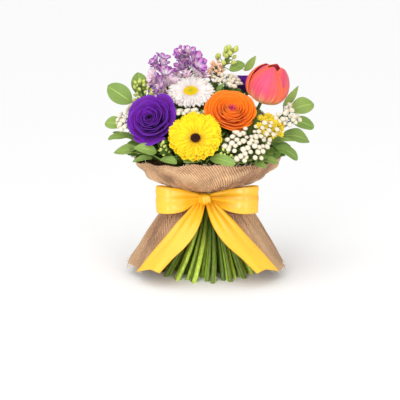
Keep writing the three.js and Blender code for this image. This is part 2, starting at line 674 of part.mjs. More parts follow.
// Leafy stems: where each stands in the binding, where it ends, and its leaves. On the sides and at the front they
// are placed one by one, and round the back by a rule.
const UP_AND_OUT = [0, -0.5, 0.85];
const LEAFY_STEMS = {
  leafy_left_upper: [{ ring: 2, index: 11, head: [-102, -6, 256], axis: [-0.6, -0.1, 0.8] }, [
    { base: [-110, -16, 258], tip: [-145, -10, 281], width: 29, face: [-0.3, -0.8, 0.4] },
    { base: [-98, 0, 266], tip: [-101, 8, 299], width: 25, face: [0.1, -0.9, 0.3] },
  ]],
  leafy_left_middle: [{ ring: 3, index: 1, head: [-112, -30, 218], axis: [-0.8, -0.2, 0.5] }, [
    { base: [-121, -27, 227], tip: [-149, -20, 228], width: 20, face: [0, -0.8, 0.5] },
    { base: [-116, -35, 210], tip: [-144, -30, 206], width: 15, face: UP_AND_OUT },
  ]],
  leafy_left_lower: [{ ring: 3, index: 2, head: [-84, -62, 190], axis: [-0.7, -0.6, 0.3] }, [
    { base: [-95, -50, 192], tip: [-135, -42, 188], width: 22, face: UP_AND_OUT },
    { base: [-72, -80, 194], tip: [-104, -84, 202], width: 19, face: [0, -0.7, 0.7], shape: POINTED },
    { base: [-78, -78, 186], tip: [-106, -74, 180], width: 11, face: UP_AND_OUT },
    { base: [-66, -90, 186], tip: [-43, -106, 183], width: 15, face: UP_AND_OUT },
  ]],
  leafy_front: [{ ring: 3, index: 4, head: [-8, -92, 174], axis: [0, -0.9, 0.3] }, [
    { base: [4, -97, 190], tip: [38, -119, 184], width: 17, face: [0, -0.8, 0.6] },
    { base: [-8, -98, 186.5], tip: [-33, -109, 186], width: 13, face: UP_AND_OUT },
  ]],
  leafy_front_right: [{ ring: 3, index: 6, head: [58, -78, 180], axis: [0.5, -0.8, 0.3] }, [
    { base: [66, -78, 184], tip: [101, -74, 178], width: 15, face: UP_AND_OUT },
    { base: [56, -90, 181], tip: [32, -100, 184], width: 13, face: UP_AND_OUT },
    { base: [64, -86, 180], tip: [82, -96, 176], width: 12, face: UP_AND_OUT },
  ]],
  leafy_right_lower: [{ ring: 3, index: 7, head: [94, -46, 200], axis: [0.8, -0.4, 0.4] }, [
    { base: [92, -58, 207], tip: [124, -56, 207], width: 10, face: UP_AND_OUT, shape: POINTED },
    { base: [98, -50, 197], tip: [131, -42, 178], width: 19, face: [0.2, -0.7, 0.7] },
    { base: [108, -38, 212], tip: [149, -26, 202], width: 28, face: [0, -0.6, 0.8] },
  ]],
  leafy_right_upper: [{ ring: 3, index: 9, head: [112, -6, 238], axis: [0.7, -0.1, 0.7] }, [
    { base: [121, -12, 245], tip: [157, 0, 254], width: 26, face: [0, -0.85, 0.5] },
    { base: [122, -16, 232], tip: [157, -10, 220], width: 19, face: [0, -0.85, 0.5] },
    { base: [112, 0, 250], tip: [134, 2, 280], width: 12, face: [0.3, -0.9, 0], shape: POINTED },
  ]],
  leafy_back_right: [{ ring: 3, index: 10, head: [80, 66, 190], axis: [0.6, 0.6, 0.4] },
    collar([16, 31, 46, 58], 5)],
  leafy_back: [{ ring: 3, index: 13, head: [-22, 96, 186], axis: [-0.1, 0.8, 0.4] },
    collar([73, 110, 124], -3)],
  leafy_back_left: [{ ring: 3, index: 14, head: [-76, 70, 190], axis: [-0.6, 0.6, 0.4] },
    collar([136, 149, 162, 174], 5)],
};

// Leaves round the back of the collar, by turns low and raised.
function collar(azimuths, raise) {
  return azimuths.map((azimuth, k) => {
    const lift = (k % 2) * raise;
    return {
      base: polar(102, azimuth, 189 + lift).toArray(),
      tip: polar(140, azimuth + 4, 200 + 2 * lift).toArray(),
      width: 24,
      face: polar(-0.4, azimuth, 0.9).toArray(),
    };
  });
}

const TOP_LEAVES = [
  { base: [34, 26, 300], tip: [56, 34, 310], width: 17, face: [-0.2, -0.9, 0.5] },
  { base: [56, 22, 300], tip: [72, 26, 322], width: 12, face: [0.3, -0.9, 0.1], shape: POINTED },
];

// Fillers with small round heads, and with buds.
const BUTTON_SPRAYS = [
  ["buttons_top", { ring: 1, index: 1, head: [22, 2, 278], axis: [0.1, -0.3, 0.95],
    centre: [27, 2, 294], wide: 18, high: 20, count: 8, seed: 3 }],
  ["buttons_middle", { ring: 1, index: 5, head: [-27, -46, 240], axis: [0, -0.6, 0.8],
    centre: [-27, -58, 251], wide: 24, high: 9, count: 7, seed: 5 }],
  ["buttons_front_right", { ring: 2, index: 3, head: [50, -76, 194], axis: [0.1, -0.8, 0.5],
    centre: [54, -94, 207], wide: 32, high: 24, count: 15, seed: 7 }],
  ["buttons_left", { ring: 3, index: 0, head: [-112, -22, 232], axis: [-0.7, -0.4, 0.5],
    centre: [-122, -34, 230], wide: 9, high: 21, count: 6, seed: 9 }],
  ["buttons_right", { ring: 3, index: 8, head: [104, -38, 234], axis: [0.3, -0.6, 0.7],
    centre: [110, -50, 242], wide: 22, high: 20, count: 9, seed: 11 }],
  ["buttons_back_right", { ring: 3, index: 11, head: [34, 99, 206], axis: [0.25, 0.8, 0.5],
    centre: [38, 112, 217], wide: 18, high: 18, count: 7, seed: 13 }],
  ["buttons_back_left", { ring: 3, index: 15, head: [-98, 32, 232], axis: [-0.8, 0.3, 0.5],
    centre: [-110, 34, 244], wide: 18, high: 18, count: 7, seed: 15 }],
];

const BUD_SPRAYS = [
  ["buds_top", "bud", { ring: 1, index: 2, head: [36, 30, 332], axis: [0.6, -0.1, 0.8],
    length: 30, spread: 12, count: 8, seed: 21, radius: 3.2, long: 8 }, TOP_LEAVES],
  ["buds_left", "bud", { ring: 2, index: 0, head: [-98, -14, 282], axis: [-0.3, -0.1, 0.9],
    length: 30, spread: 17, count: 8, seed: 23, radius: 3.2, long: 7 }, []],
  ["buds_left_front", "bud", { ring: 3, index: 3, head: [-62, -92, 204], axis: [-0.1, -0.5, 0.85],
    length: 18, spread: 9, count: 5, seed: 25, radius: 3, long: 7 }, []],
  ["buds_front", "bud", { ring: 3, index: 5, head: [26, -104, 198], axis: [0.1, -0.6, 0.8],
    length: 16, spread: 9, count: 5, seed: 27, radius: 2.6, long: 6 }, []],
  ["snapdragon_peach", "peach", { ring: 2, index: 8, head: [14, 19, 314], axis: [0, -0.2, 1],
    length: 32, spread: 13, count: 9, seed: 29, radius: 4, long: 8 }, []],
];

const SOLIDAGO = { ring: 2, index: 4, head: [80, -58, 216], axis: [0.4, -0.5, 0.7], centre: [88, -68, 230],
  wide: 20, high: 22, count: 13, seed: 31 };

const FREESIAS = {
  freesia_left: [{ ring: 1, index: 4, head: [-68, 4, 308], axis: [-0.25, 0, 1] }, [
    [-81, -2, 321, 9], [-62, 0, 327, 10], [-86, -6, 300, 11], [-60, -9, 306, 10], [-78, -16, 287, 14],
    [-72, -18, 272, 11],
  ]],
  freesia_middle: [{ ring: 1, index: 3, head: [-29, 20, 316], axis: [0, -0.1, 1] }, [
    [-44, 8, 333, 10], [-26, 10, 335, 10], [-11, 2, 320, 15], [-4, 10, 305, 9], [-44, 4, 312, 10],
  ]],
};

// Assembly. Blooms come first, and the fillers last, because these give way to what is there.
BLOOMS.forEach(addBloom);
add("burlap_wrap", wrap(), "burlap");
add("satin_ribbon_bow", ribbonBow(), "satin");
add("twine_binding", binding(), "twine");
for (const [name, [place, leaves]] of Object.entries(LEAFY_STEMS)) addLeafyStem(name, place, leaves);
for (const [name, [place, mouths]] of Object.entries(FREESIAS)) addFreesia(name, place, mouths);
for (const [name, material, place, leaves] of BUD_SPRAYS) {
  const floret = bud(place.radius, place.long);
  addSpray(name, material, place, { twigs: spike(place), floret, extras: leafSolids(place, leaves) });
}
addSpray("solidago_right", "yellow_filler", SOLIDAGO, { twigs: umbel(SOLIDAGO), floret: puff(4.4) });
for (const [name, place] of BUTTON_SPRAYS) {
  addSpray(name, "button", place, { twigs: umbel(place), floret: button(BUTTON) });
}

export default bouquet;
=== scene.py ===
"""A hand-tied bouquet of mixed flowers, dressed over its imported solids.

Each piece is a surface worked out on a grid. Lengths in the tables are millimetres, and a mesh is written in
metres. The front looks towards -Y and +Z is up.
"""
import math

import bpy
import numpy as np
from bpy.props import FloatProperty, FloatVectorProperty, IntProperty, PointerProperty
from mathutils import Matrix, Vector


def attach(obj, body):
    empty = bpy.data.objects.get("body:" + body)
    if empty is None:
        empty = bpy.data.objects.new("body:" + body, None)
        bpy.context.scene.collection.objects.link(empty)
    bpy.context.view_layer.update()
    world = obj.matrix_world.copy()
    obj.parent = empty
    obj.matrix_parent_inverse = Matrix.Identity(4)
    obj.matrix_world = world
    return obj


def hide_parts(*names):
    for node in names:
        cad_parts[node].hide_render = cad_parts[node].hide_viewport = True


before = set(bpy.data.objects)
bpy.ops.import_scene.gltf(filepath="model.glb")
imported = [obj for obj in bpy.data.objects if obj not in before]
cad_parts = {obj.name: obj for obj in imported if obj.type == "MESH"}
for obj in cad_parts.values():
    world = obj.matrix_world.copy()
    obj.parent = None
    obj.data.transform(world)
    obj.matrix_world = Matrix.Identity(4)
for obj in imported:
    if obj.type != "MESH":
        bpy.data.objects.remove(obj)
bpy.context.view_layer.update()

bl_info = {
    "name": "Mixed flower bouquet",
    "version": (1, 0, 0),
    "blender": (4, 5, 0),
    "location": "3D View > Sidebar > Bouquet",
    "description": "Builds a hand-tied bouquet in a burlap wrap with a satin bow",
    "category": "Add Mesh",
}

# Points closer than MERGE millimetres become one. Edges that turn by over SHARP degrees are creased.
# GOLDEN is the turn in degrees from one seed of a sunflower to the next.
MM = 0.001
MERGE = 0.001
SHARP = 60.0
WHITE = (1.0, 1.0, 1.0)
GOLDEN = 137.508

# The bundle of stems, as the solids have it. A flower's stem ends a little inside its bloom. The twine climbs
# from TWINE_RISE below the tie to as much above it.
TIE_Z = 119.5
WAIST_LOW = 110.5
WAIST_HIGH = 128.5
STEM_PITCH = 6.0
RING_COUNTS = (1, 6, 12, 16)
RING_START = (0, -75, -165, -180)
FOOT_RADIUS = 70.0
FOOT_TWIST = 16.0
FOOT_CURVE = 1.25
FLOWER_STEM = 3.0
SPRAY_STEM = 2.6
FLOWER_GAP = -0.25
TWINE_RING = 23.15
TWINE_RADIUS = 1.3
TWINE_TURNS = 3
TWINE_RISE = 2.8
HALF_RIBBON = 19.0


# Sizes and colours that a user would change.
def length(name, description, millimetres):
    """A property for a length, kept in metres."""
    return FloatProperty(name=name, description=description, default=millimetres * MM, min=0.0001,
                         precision=5, unit="LENGTH")


def colour(name, description, code):
    """A property for a colour, given as the six hexadecimal digits of its sRGB value."""
    channels = [int(code[i:i + 2], 16) / 255 for i in (0, 2, 4)]
    linear = [c / 12.92 if c <= 0.04045 else ((c + 0.055) / 1.055) ** 2.4 for c in channels]
    return FloatVectorProperty(name=name, description=description, default=linear, subtype="COLOR", min=0,
                               max=1)


class BouquetSizes(bpy.types.PropertyGroup):
    petal: length("Petal", "Thickness of a petal", 0.5)
    leaf: length("Leaf", "Thickness of a leaf", 0.5)
    twig: length("Twig", "Radius of a floret's stalk", 0.55)
    button: length("Button", "Radius of a small round head", 4.4)
    weave: length("Weave", "Distance between two threads of the burlap", 2.4)
    cloth: length("Burlap", "Thickness of the burlap", 1.1)
    ribbon: length("Ribbon", "Thickness of the ribbon", 0.6)
    fringe: IntProperty(name="Fringe", description="Loose threads along the burlap's edges", default=420,
                        min=0)


class BouquetColours(bpy.types.PropertyGroup):
    violet: colour("Violet", "Lisianthus petals", "6a1e98")
    # Painted shade, low in the lisianthus petals' folds and on its innermost petals.
    violet_fold_shade: colour("Deep violet", "Lisianthus petals in the folds", "26064e")
    violet_rim: colour("Violet rim", "Lisianthus petals at the rim", "7326ba")
    yellow: colour("Yellow", "Gerbera rays", "ffdc0a")
    yellow_root: colour("Golden", "Gerbera rays towards the centre", "f2a000")
    eye_dark: colour("Dark eye", "The yellow gerbera's disc", "3c1a10")
    orange: colour("Orange", "Ranunculus petals", "ff8208")
    # Painted shade, low in the ranunculus petals' folds.
    orange_fold_shade: colour("Deep orange", "Ranunculus petals in the folds", "ec4a00")
    orange_rim: colour("Orange rim", "Ranunculus petals at the rim", "ff8c28")
    white: colour("White", "White gerbera rays", "fbebe5")
    white_root: colour("Cream", "White gerbera rays towards the centre", "ebd0bc")
    disc: colour("Disc", "The white gerbera's disc", "f2d414")
    disc_heart: colour("Disc heart", "The middle of the white gerbera's disc", "b4be2c")
    coral: colour("Coral", "Tulip petals", "e24e70")
    coral_rim: colour("Coral rim", "Tulip petals at the rim", "ea6440")
    tulip_foot: colour("Tulip foot", "Tulip petals at the foot", "e9dd8c")
    lilac: colour("Lilac", "Freesia petals", "d27cc6")
    lilac_pale: colour("Pale lilac", "Freesia petals where they are pale", "fdf4f4")
    lilac_deep: colour("Deep lilac", "Freesia petals at the rim", "6a2a9c")
    cream: colour("Cream buttons", "Small round heads", "f0e6d2")
    goldenrod: colour("Goldenrod", "Fluffy yellow clusters", "f2d83a")
    bud: colour("Bud", "Closed buds", "ccd56e")
    peach: colour("Peach", "Soft closed florets", "f5c8a4")
    leaf: colour("Leaf", "Upper leaves", "9cb65c")
    leaf_dark: colour("Dark leaf", "Leaves in the shade of the blooms", "547a30")
    stem: colour("Stem", "Stems", "adc844")
    # Also painted shade on the stems, darker upwards towards the tie.
    stem_dark_and_shade: colour("Dark stem", "Stems close to the tie", "284a16")
    burlap: colour("Burlap", "Jute threads", "fac496")
    # Also the painted shade in the burlap's folds and the painted shadow beside its lapped edge.
    burlap_dark: colour("Dark burlap", "Gaps between the threads", "4a2210")
    fibre: colour("Fibre", "Loose jute threads", "e6ccac")
    satin: colour("Satin", "Ribbon", "f8bc22")
    # Painted shade in the ribbon's folds, and the real colour of its selvedges.
    satin_shade_and_selvedge: colour("Dark satin", "Ribbon in its folds", "d48e06")
    twine: colour("Twine", "Jute string", "a98b5d")
    floor: colour("Floor", "The floor and backdrop", "fdfdfd")


def sizes():
    """The lengths and counts that a user would change."""
    return bpy.context.scene.bouquet_sizes


def colours():
    """The colours that a user would change."""
    return bpy.context.scene.bouquet_colours


def mm(name):
    """One of the lengths that a user would change, in millimetres."""
    return getattr(sizes(), name) / MM


# Arithmetic on whole arrays.
def unit(vectors):
    """Each vector divided by its length."""
    return vectors / np.maximum(np.linalg.norm(vectors, axis=-1, keepdims=True), 1e-9)


def lerp(a, b, t):
    """The value a share t of the way from a to b."""
    return a + (b - a) * t


def smooth(x, low, high):
    """0 below low, 1 above high, and an S curve in between."""
    t = np.clip((x - low) / (high - low), 0, 1)
    return t * t * (3 - 2 * t)


def polar(radius, degrees, z):
    """Points at a radius and an angle round +Z, at a height."""
    angle = np.radians(degrees)
    return np.stack(np.broadcast_arrays(radius * np.cos(angle), radius * np.sin(angle), z), -1).astype(float)


def vec(*numbers):
    """Numbers as an array."""
    return np.array(numbers, float)


def turning(axes, turns=0.0):
    """For each axis, the rows where local X, Y and Z go: a turn about +Z, then the shortest swing of +Z to
    the axis."""
    axes = unit(np.atleast_2d(np.asarray(axes, float)))
    x, y, z = axes.T
    c = 1 + np.maximum(z, -0.999)
    swing = np.stack([
        np.stack([1 - x * x / c, -x * y / c, -x], -1),
        np.stack([-x * y / c, 1 - y * y / c, -y], -1),
        np.stack([x, y, z], -1),
    ], 1)
    angle = np.radians(np.broadcast_to(turns, x.shape))
    flat = np.zeros_like(angle)
    spin = np.stack([
        np.stack([np.cos(angle), np.sin(angle), flat], -1),
        np.stack([-np.sin(angle), np.cos(angle), flat], -1),
        np.stack([flat, flat, flat + 1], -1),
    ], 1)
    return spin @ swing


def placed(shape, at, axes, turns=0.0, scale=1.0):
    """Copies of a grid of points: scaled, turned so that +Z lies along each axis, and moved to each place."""
    matrices = turning(axes, turns)
    at = np.atleast_2d(at)
    scale = np.broadcast_to(scale, len(at)).reshape((-1,) + (1,) * (shape.ndim))
    turned = np.einsum("...i,kij->k...j", shape, matrices) * scale
    return turned + at.reshape((-1,) + (1,) * (shape.ndim - 1) + (3,))


def spline(points, steps):
    """A curve through the rows of an array: each stretch blends its end values and the slopes to their
    neighbours."""
    points = np.asarray(points, float)
    padded = np.concatenate([2 * points[:1] - points[1:2], points, 2 * points[-1:] - points[-2:-1]])
    t = np.linspace(0, len(points) - 1, steps)
    i = np.minimum(t.astype(int), len(points) - 2)
    f = (t - i)[:, None]
    a, b, c, d = padded[i], padded[i + 1], padded[i + 2], padded[i + 3]
    square, cube = 2 * a - 5 * b + 4 * c - d, 3 * b - a - 3 * c + d
    return 0.5 * (2 * b + (c - a) * f + square * f ** 2 + cube * f ** 3)


def bow(start, end, steps, bend):
    """Paths from start to end: straight, plus a bend that is widest halfway."""
    t = np.linspace(0, 1, steps)[:, None]
    start, end = np.atleast_2d(start)[:, None], np.atleast_2d(end)[:, None]
    return lerp(start, end, t) + np.atleast_2d(bend)[:, None] * np.sin(math.pi * t)


def revolved(profile, sides):
    """A profile of (radius, height) pairs turned round +Z, from below upwards."""
    profile = np.asarray(profile, float)
    return polar(profile[:, :1], np.linspace(0, 360, sides + 1), profile[:, 1:])


def blade(rows, columns):
    """The share along each blade of a batch, from 0 to 1, and the share across it, from -1 to 1."""
    return np.linspace(0, 1, rows)[None, :, None], np.linspace(-1, 1, columns)[None, None, :]


# Collecting surfaces into meshes.
def added(name, data):
    """A new object in the scene."""
    thing = bpy.data.objects.new(name, data)
    bpy.context.scene.collection.objects.link(thing)
    return thing


def per_point(shape, uv, tone):
    """The UV map and the tone at each point of a batch of grids. A UV map that is left out runs from 0 to 1
    both ways."""
    if uv is None:
        uv = np.stack(np.meshgrid(np.linspace(0, 1, shape[2]), np.linspace(0, 1, shape[1])), -1)
    tone = np.reshape(tone, np.shape(tone) + (1,) * (3 - np.ndim(tone)))
    return np.broadcast_to(uv, (*shape, 2)), np.broadcast_to(tone, shape)


class Surface:
    """Grids of points that become one mesh, with a UV map and a tone from 0 to 1 at each point."""

    def __init__(self):
        self.points, self.uvs, self.tones, self.quads, self.finishes, self.count = [], [], [], [], [], 0

    def grid(self, points, tone, finish=0, uv=None):
        """Quads between the neighbours of each (rows, columns, 3) grid of points in a batch."""
        points = points.reshape((-1,) + points.shape[-3:])
        shape = points.shape[:3]
        uv, tone = per_point(shape, uv, tone)
        index = np.arange(math.prod(shape)).reshape(shape) + self.count
        corners = (index[:, :-1, :-1], index[:, :-1, 1:], index[:, 1:, 1:], index[:, 1:, :-1])
        quads = np.stack(corners, -1).reshape(-1, 4)
        self.points.append(points.reshape(-1, 3))
        self.uvs.append(uv.reshape(-1, 2))
        self.tones.append(tone.reshape(-1))
        self.quads.append(quads)
        self.finishes.append(np.full(len(quads), finish))
        self.count += index.size
        return self

    def sheet(self, points, thick, tone, finish=0, uv=None):
        """A thin closed plate: the grid, the same grid one thickness behind it, and a wall round the edge."""
        points = points.reshape((-1,) + points.shape[-3:])
        uv, tone = per_point(points.shape[:3], uv, tone)
        back = points - thick * unit(np.cross(np.gradient(points, axis=2), np.gradient(points, axis=1)))

        def closed(front, behind):
            """The front's columns, those behind in reverse, and the front's first column again."""
            return np.concatenate([front, behind[:, :, ::-1], front[:, :, :1]], 2)

        self.grid(closed(points, back), closed(tone, tone), finish, closed(uv, uv))
        for row, ends in ((0, (back, points)), (-1, (points, back))):
            wall = np.stack([end[:, row] for end in ends], 1)
            self.grid(wall, np.stack([tone[:, row]] * 2, 1), finish, np.stack([uv[:, row]] * 2, 1))
        return self

    def tube(self, paths, radius, sides, tone, finish=0, level=False):
        """Rings square to each path, closed at both ends. A level tube is cut flat at height 0."""
        paths = np.asarray(paths, float)
        paths = paths.reshape((-1,) + paths.shape[-2:])
        along = unit(np.gradient(paths, axis=1))
        pick = np.eye(3)[np.argmin(np.abs(paths[:, -1] - paths[:, 0]), axis=-1)][:, None]
        side = unit(np.cross(along, pick))
        up = np.cross(side, along)
        angle = np.linspace(0, 2 * math.pi, sides + 1)
        ring = side[:, :, None] * np.cos(angle)[:, None] - up[:, :, None] * np.sin(angle)[:, None]
        points = paths[:, :, None] + ring * np.broadcast_to(radius, paths.shape[:2])[..., None, None]
        if level:
            first = points[:, 0]
            points[:, 0] = first - along[:, :1] * (first[..., 2:] / along[:, :1, 2:])
        ends = [np.repeat(paths[:, i, None, None], sides + 1, 2) for i in (0, -1)]
        return self.grid(np.concatenate([ends[0], points, ends[1]], 1), tone, finish)

    def set_into(self, centre, faces, turn=0.0):
        """Turns everything collected so far from +Z to where it faces, and moves it to its place."""
        matrix = turning(faces, turn)[0]
        self.points = [points @ matrix + vec(*centre) for points in self.points]
        return self

    def piece(self, name, slot, finishes, *nodes):
        """The mesh object: points that coincide are merged, it rides on the part and stands for the nodes."""
        points, quads = np.concatenate(self.points), np.concatenate(self.quads)
        _, first, same = np.unique(np.round(points / MERGE).astype(np.int64), axis=0, return_index=True,
                                   return_inverse=True)
        merged = same.reshape(-1)[quads]
        keep = merged != np.roll(merged, -1, 1)
        whole, three = keep.all(1), keep.sum(1) == 3
        faces = merged[whole].tolist() + merged[three][keep[three]].reshape(-1, 3).tolist()
        if not faces:
            raise RuntimeError(f"{name} has no faces")
        corners = np.concatenate([quads[whole].reshape(-1), quads[three][keep[three]]])
        finish = np.concatenate(self.finishes)
        mesh = bpy.data.meshes.new(name)
        mesh.from_pydata((points[first] * MM).tolist(), [], faces)
        uv = np.concatenate(self.uvs)[corners]
        mesh.uv_layers.new(name="UVMap").data.foreach_set("uv", uv.astype(np.float32).ravel())
        tones = mesh.attributes.new("tone", "FLOAT", "POINT")
        tones.data.foreach_set("value", np.concatenate(self.tones)[first].astype(np.float32))
        finish = np.concatenate([finish[whole], finish[three]]).astype(np.int32)
        mesh.polygons.foreach_set("material_index", finish)
        mesh.polygons.foreach_set("use_smooth", np.ones(len(faces), bool))
        mesh.set_sharp_from_angle(angle=math.radians(SHARP))
        for made in finishes:
            mesh.materials.append(made)
        mesh.update()
        thing = added(name, mesh)
        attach(thing, "root")
        if nodes:
            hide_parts(*nodes)
        return thing


# Materials.
class Finish:
    """A material's nodes. Each call adds one and gives back its output; the colour so far is kept as
    shade."""

    def __init__(self, name, **shader):
        self.material = bpy.data.materials.new(name)
        self.material.use_nodes = True
        self.tree = self.material.node_tree
        self.shader = self.tree.nodes["Principled BSDF"]
        self.shade = WHITE
        for socket, value in shader.items():
            self.shader.inputs[socket.replace("_", " ")].default_value = value

    def node(self, kind, inputs=(), output=0, **settings):
        """A shader node with its settings, and with each input linked or set."""
        made = self.tree.nodes.new(kind)
        for key, value in settings.items():
            setattr(made, key, value)
        for key, value in dict(inputs).items():
            if isinstance(value, bpy.types.NodeSocket):
                self.tree.links.new(value, made.inputs[key])
            else:
                made.inputs[key].default_value = value
        return made.outputs[output]

    def place(self):
        """The place on the object, in metres."""
        return self.node("ShaderNodeTexCoord", output="Object")

    def uv(self):
        """The place on the UV map."""
        return self.node("ShaderNodeTexCoord", output="UV")

    def tone(self):
        """The tone, from 0 to 1."""
        return self.node("ShaderNodeAttribute", attribute_name="tone", output="Fac")

    def part(self, vector, axis):
        """One of a vector's three numbers."""
        return self.node("ShaderNodeSeparateXYZ", {0: vector}, output=axis)

    def maths(self, operation, *values):
        """One step of arithmetic on the values."""
        return self.node("ShaderNodeMath", dict(enumerate(values)), operation=operation)

    def times(self, a, b):
        """a times b."""
        return self.maths("MULTIPLY", a, b)

    def plus(self, a, b):
        """a plus b."""
        return self.maths("ADD", a, b)

    def minus(self, a, b):
        """a less b."""
        return self.maths("SUBTRACT", a, b)

    def absolute(self, value):
        """The value without its sign."""
        return self.maths("ABSOLUTE", value)

    def sine(self, value, pace):
        """The sine of the value times its pace."""
        return self.maths("SINE", self.times(value, pace))

    def stretched(self, vector, scale, turn=0.0):
        """The vector with each of its numbers scaled, then turned about Z by degrees."""
        inputs = {"Vector": vector, "Scale": scale, "Rotation": (0, 0, math.radians(turn))}
        return self.node("ShaderNodeMapping", inputs)

    def noise(self, vector, scale, detail=2.0, seed=0.0):
        """Noise at the vector times a scale. Each seed gives another pattern."""
        inputs = {"Vector": vector, "W": seed, "Scale": scale, "Detail": detail}
        return self.node("ShaderNodeTexNoise", inputs, noise_dimensions="4D")

    def streaks(self, vector, stretch, detail, shift):
        """Noise drawn out by three scales, and shifted by the tone."""
        return self.noise(self.stretched(vector, stretch), 1, detail, self.times(self.tone(), shift))

    def between(self, value, low, high, to_low=0.0, to_high=1.0):
        """A smooth step of the value from low to high, as a number from to_low to to_high."""
        inputs = {0: value, 1: low, 2: high, 3: to_low, 4: to_high}
        return self.node("ShaderNodeMapRange", inputs, interpolation_type="SMOOTHSTEP")

    def mix(self, share, a, b, blend="MIX"):
        """The colour a share of the way from a to b, or blended with b by that share."""
        inputs = {0: share, 6: rgba(a), 7: rgba(b)}
        return self.node("ShaderNodeMix", inputs, data_type="RGBA", blend_type=blend, output=2)

    def tint(self, share, over, blend="MIX"):
        """Lays a colour over the shade so far, as strongly as the share says."""
        self.shade = self.mix(share, self.shade, over, blend)

    def veins(self, height, low, high, dark):
        """Darkens the shade where a height is low."""
        self.tint(1.0, self.mix(self.between(height, low, high), dark, WHITE), "MULTIPLY")

    def ramp(self, value, *stops):
        """The colour at a value, in between stops that are each a position and a colour."""
        made = self.tree.nodes.new("ShaderNodeValToRGB")
        band = made.color_ramp
        while len(band.elements) < len(stops):
            band.elements.new(0.5)
        for element, (position, shade) in zip(band.elements, stops):
            element.position = position
            element.color = rgba(shade)
        self.tree.links.new(value, made.inputs[0])
        return made.outputs[0]

    def bump(self, height, distance):
        """Distance is in millimetres."""
        normal = self.node("ShaderNodeBump", {"Height": height, "Distance": distance * MM})
        self.tree.links.new(normal, self.shader.inputs["Normal"])

    def done(self, roughness=None):
        """The finished material, with the shade as its colour and the roughness where there is one."""
        self.tree.links.new(self.shade, self.shader.inputs["Base Color"])
        if roughness is not None:
            self.tree.links.new(roughness, self.shader.inputs["Roughness"])
        return self.material


def rgba(shade):
    """A colour with an alpha of 1 added. An output, or a colour that has its alpha, stays as it is."""
    if isinstance(shade, bpy.types.NodeSocket) or len(shade) == 4:
        return shade
    return (*shade, 1.0)


def shaded(shade, factor):
    """The same colour, lighter or darker."""
    return tuple(min(1.0, c * factor) for c in shade)


def known(name, make, *colours_and_settings):
    """A material by name, made the first time it is asked for. The solids have materials of their own."""
    name = "fresh_" + name
    return bpy.data.materials.get(name) or make(name, *colours_and_settings)


def petal_finish(name, root, body, contrast):
    """Colour runs from root to tip, broken by streaks along the petal. A petal's tone shifts its streaks."""
    mat = Finish(name, Roughness=0.55, Sheen_Weight=0.15, Subsurface_Weight=0.3, Subsurface_Scale=0.004,
                 Specular_IOR_Level=0.3)
    streaks = mat.streaks(mat.uv(), (7, 1.3, 1), 3, 40)
    up = mat.plus(mat.part(mat.uv(), 1), mat.times(streaks, 0.16))
    mat.shade = mat.ramp(mat.minus(up, 0.08), (0, root), (0.42, body))
    mat.tint(mat.between(mat.tone(), 0.05, 0.45, 0.8, 0.0), root)
    mat.veins(streaks, 0.3, 0.7, shaded(WHITE, 1 - contrast))
    mat.bump(streaks, 0.25)
    return mat.done()


def edged_finish(name, foot, body, rim, low, high, edging):
    """Streaks of the body colour on the rim colour, thinning out towards the petal's edges, over a pale
    foot."""
    mat = Finish(name, Roughness=0.42, Specular_IOR_Level=0.35, Subsurface_Weight=0.12,
                 Subsurface_Scale=0.004)
    uv = mat.uv()
    streaks = mat.streaks(uv, (9, 0.8, 1), 3, 50)
    off = mat.absolute(mat.minus(mat.part(uv, 0), 0.5))
    share = mat.plus(mat.times(off, edging), mat.times(streaks, 0.7))
    mat.shade = mat.mix(mat.between(share, 0.45, 0.95), body, rim)
    up = mat.plus(mat.part(uv, 1), mat.times(mat.minus(streaks, 0.5), 0.5))
    mat.tint(mat.between(up, low, high, 1.0, 0.0), foot)
    lines = mat.streaks(uv, (22, 1.0, 1), 2, 20)
    mat.veins(lines, 0.3, 0.6, (0.8, 0.66, 0.72))
    mat.tint(mat.between(off, 0.4, 0.5, 0.0, 0.5), shaded(rim, 1.3))
    mat.bump(lines, 0.25)
    return mat.done()


def rosette_finish(name, deep, body, rim, heart):
    """Painted shade in the deep colour low in the folds, body colour above, a thin pale rim; the tone runs
    from the heart outwards.
    """
    mat = Finish(name, Roughness=0.55, Sheen_Weight=0.04, Specular_IOR_Level=0.2, Subsurface_Weight=0.25,
                 Subsurface_Scale=0.004)
    streaks = mat.streaks(mat.uv(), (14, 1.5, 1), 3, 60)
    up = mat.plus(mat.part(mat.uv(), 1), mat.times(mat.minus(streaks, 0.5), 0.18))
    # The deep colour low on each petal is painted shade in the folds; the noise below also lays it in random
    # patches.
    mat.shade = mat.ramp(up, (0.05, deep), (0.5, body), (0.88, body), (1, rim))
    # The heart colour on the innermost petals: the ranunculus's own pink, and painted shade for the
    # lisianthus.
    mat.tint(mat.between(mat.tone(), 0.14, 0.02), heart)
    mat.tint(mat.between(mat.noise(mat.place(), 90), 0.25, 0.75, 0.0, 0.15), deep)
    mat.bump(streaks, 0.2)
    return mat.done()


def leaf_finish(name, light, dark, pale):
    """A pale midrib and side veins on a mottled blade; a leaf's tone makes it lighter or darker."""
    mat = Finish(name, Roughness=0.5, Specular_IOR_Level=0.35, Subsurface_Weight=0.1, Subsurface_Scale=0.003)
    uv = mat.uv()
    off = mat.absolute(mat.minus(mat.part(uv, 0), 0.5))
    slant = mat.minus(mat.part(uv, 1), mat.times(off, 0.7))
    vein = mat.between(mat.absolute(mat.sine(slant, 26)), 0.16, 0.02, 0.0, 0.5)
    lines = mat.maths("MAXIMUM", mat.between(off, 0.045, 0.012), vein)
    mottle = mat.noise(mat.place(), 120, 3)
    mat.shade = mat.mix(mat.plus(mat.times(mat.tone(), 0.75), mat.times(mottle, 0.25)), dark, light)
    mat.tint(mat.times(lines, 0.55), pale)
    mat.bump(mat.minus(mat.times(mottle, 0.4), lines), 0.35)
    return mat.done(mat.between(mottle, 0.3, 0.7, 0.42, 0.6))


